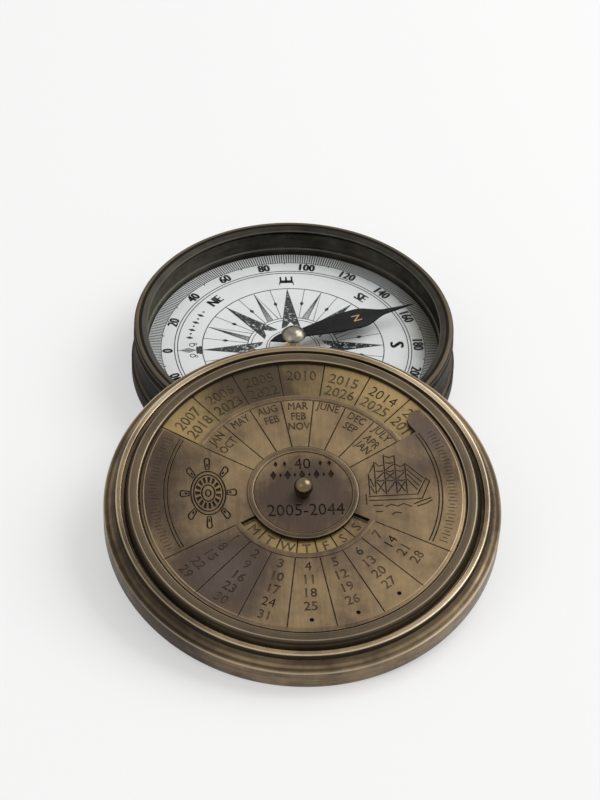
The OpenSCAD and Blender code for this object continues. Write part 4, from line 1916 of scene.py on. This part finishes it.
    def plate(self) -> bpy.types.Mesh:
        """Cuts the plate out and engraves it.

        Returns:
            The engraved plate.
        """
        face = self.top
        window = band_outline(*self.weekday, *self.dates)
        outlines = [self.outline(), window, circle(self.bore, 20.0)]
        return engraved(sheet(outlines, self.bottom, face, self.edge), [
            self.rim_cutter(),
            gathered(legend.cutter(face, CUT) for legend in self.legends()),
            gathered(legend.cutter(face, DEEP_CUT) for legend in self.titles),
            sheet(self.ornament() + self.wheel_hollows(), face - DEEP_CUT, face + self.cutter_rise),
            self.dots(),
            *(strokes(group, face, self.wheel_line, ring=True) for group in self.wheel_lines()),
            *(strokes(group, face, self.line) for group in self.ruling() + self.ship_lines()),
            strokes(self.hatches(), face, self.hatch_line),
        ])

    def borders(self) -> bpy.types.Mesh:
        """Makes the raised borders round the middle and along the two windows.

        Returns:
            The borders.
        """
        inner, outer = self.weekday
        wide, years = self.border, self.year_inner
        outlines = (
            [circle(inner), circle(inner - wide)],
            [band_outline(outer, outer + wide, *self.dates)],
            [band_outline(years - wide, years, *self.window)],
        )
        low, high = self.top - self.border_sunk, self.top + self.border_height
        return gathered(sheet(lines, low, high, self.border_edge) for lines in outlines)

    def knob(self) -> bpy.types.Mesh:
        """Turns the ball knob on its spindle.

        Returns:
            The knob.
        """
        (neck, shoulder), (spindle, end) = self.knob_neck, self.spindle
        lift = math.degrees(math.acos(neck / self.ball))
        globe = bow((0.0, self.ball_level), self.ball, -lift, 90.0, 5.0)
        return lathe([
            (0.0, end), (spindle, end, 0.1), (spindle, self.top), (neck, self.top),
            (neck, shoulder, 0.08), *globe[:-1], (0.0, self.ball_level + self.ball),
        ], closed=False)

    def build(self, finishes: Finishes) -> None:
        """Builds the plate, its borders and its knob.

        Args:
            finishes: The finishes.
        """
        place = LID_PLACE.spun(self.turn)
        install("months_and_dates", self.plate(), finishes.calendar_brass, "calendar",
                place, ["calendar_plate"], smooth=20.0)
        install("raised_borders", self.borders(), finishes.border_brass, "calendar",
                place)
        install("ball_knob", self.knob(), finishes.knob_brass, "calendar",
                LID_PLACE, ["knob"])
        dress("friction_washer", finishes.steel)
        dress("rivet_collar", finishes.plain_brass)


@dataclass
class Studio:
    """Camera, floor and soft light."""

    target: Triple = (1.877, -20.263, 9.24)
    distance: float = 646.8
    elevation: float = 42.321
    roll: float = 2.105
    focal_pixels: float = 3080.16
    frame_height: float = 800.0
    sensor: float = 36.0
    white: Rgb = (0.913, 0.913, 0.913)
    paper: Rgb = (0.90, 0.90, 0.895)
    floor_radius: float = 4000.0
    floor_drop: float = 0.03
    room_low: Rgb = (0.22, 0.22, 0.225)
    room_high: Rgb = (0.66, 0.66, 0.655)
    lamps: tuple[tuple[str, Triple, float, float], ...] = (
        ("key", (620.0, 300.0, 760.0), 760.0, 7.4), ("fill", (-300.0, -260.0, 380.0), 320.0, 0.25),
    )

    def camera(self) -> None:
        """Sets the camera at the photograph's angle."""
        data = bpy.data.cameras.new("camera")
        data.sensor_width = self.sensor
        data.lens = self.focal_pixels / self.frame_height * self.sensor
        data.clip_start, data.clip_end = 0.01, 20.0
        e, roll = math.radians(self.elevation), math.radians(self.roll)
        ahead = Vector((0.0, math.cos(e), -math.sin(e)))
        above = Vector((0.0, math.sin(e), math.cos(e)))
        right = Vector((1.0, 0.0, 0.0))
        x_axis = math.cos(roll) * right + math.sin(roll) * above
        y_axis = math.cos(roll) * above - math.sin(roll) * right
        turned = Matrix((x_axis, y_axis, -ahead)).transposed().to_4x4()
        eye = (Vector(self.target) - ahead * self.distance) * MM
        camera = bpy.data.objects.new("camera", data)
        camera.matrix_world = Matrix.Translation(eye) @ turned
        bpy.context.scene.collection.objects.link(camera)
        bpy.context.scene.camera = camera

    def floor(self) -> None:
        """Lays the pale floor, just clear of the object's underside."""
        work = bmesh.new()
        bmesh.ops.create_circle(work, cap_ends=True, segments=96, radius=self.floor_radius * MM)
        mesh = finished(work, "floor")
        mesh.transform(Matrix.Translation((0.0, 0.0, -self.floor_drop * MM)))
        floor = bpy.data.objects.new("floor", mesh)
        bpy.context.scene.collection.objects.link(floor)
        shader = Shader("floor")
        paper = shader.node("ShaderNodeBsdfDiffuse", None, {"Color": (*self.paper, 1.0)})
        glow = shader.node("ShaderNodeEmission", None, {"Color": (*self.white, 1.0)})
        mesh.materials.append(shader.end(shader.blend(0.5, paper, glow)))

    def world(self) -> None:
        """Makes a room that is brighter overhead, and white to the camera, metal and glass."""
        world = bpy.data.worlds.new("room")
        bpy.context.scene.world = world
        shader = Shader("room", world)
        coords = shader.node("ShaderNodeTexCoord").out("Generated")
        right, _, up = shader.split(coords)
        room = shader.mix(up.ramp(-0.1, 0.9), self.room_low, self.room_high)
        room = shader.shade(room, right.ramp(-0.9, 0.9) * 0.5 + 0.75)
        path = shader.node("ShaderNodeLightPath")
        seen = path.out("Is Camera Ray") + path.out("Is Glossy Ray")
        seen = seen + path.out("Is Transmission Ray")
        colour = shader.mix(seen, room, self.white)
        back = shader.node("ShaderNodeBackground", None, {"Color": colour, "Strength": 1.0})
        shader.node("ShaderNodeOutputWorld", None, {"Surface": back})

    def lamp(self, name: str, eye: Triple, size: float, power: float) -> None:
        """Adds one soft lamp that faces the object.

        Args:
            name: Its name.
            eye: Where it stands, in millimetres.
            size: Side of its square face, in millimetres.
            power: In watts.
        """
        data = bpy.data.lights.new(name, "AREA")
        data.shape = "SQUARE"
        data.size = size * MM
        data.energy = power
        lamp = bpy.data.objects.new(name, data)
        aim = (Vector(self.target) - Vector(eye)).to_track_quat("-Z", "Y")
        lamp.matrix_world = Matrix.Translation(Vector(eye) * MM) @ aim.to_matrix().to_4x4()
        bpy.context.scene.collection.objects.link(lamp)

    def build(self) -> None:
        """Sets up the whole studio."""
        self.camera()
        self.floor()
        self.world()
        for lamp in self.lamps:
            self.lamp(*lamp)
        bpy.context.scene.view_settings.view_transform = "Standard"


def main() -> None:
    """Builds the studio and every sub-assembly."""
    logging.basicConfig(level=logging.INFO, format="%(name)s: %(message)s")
    Studio().build()
    finishes = Finishes()
    for assembly in (CompassBox(), DialCard(), Needle(), Lid(), YearPlate(), Calendar()):
        assembly.build(finishes)
        LOG.info("%s built", type(assembly).__name__)


if __name__ == "__main__":
    main()
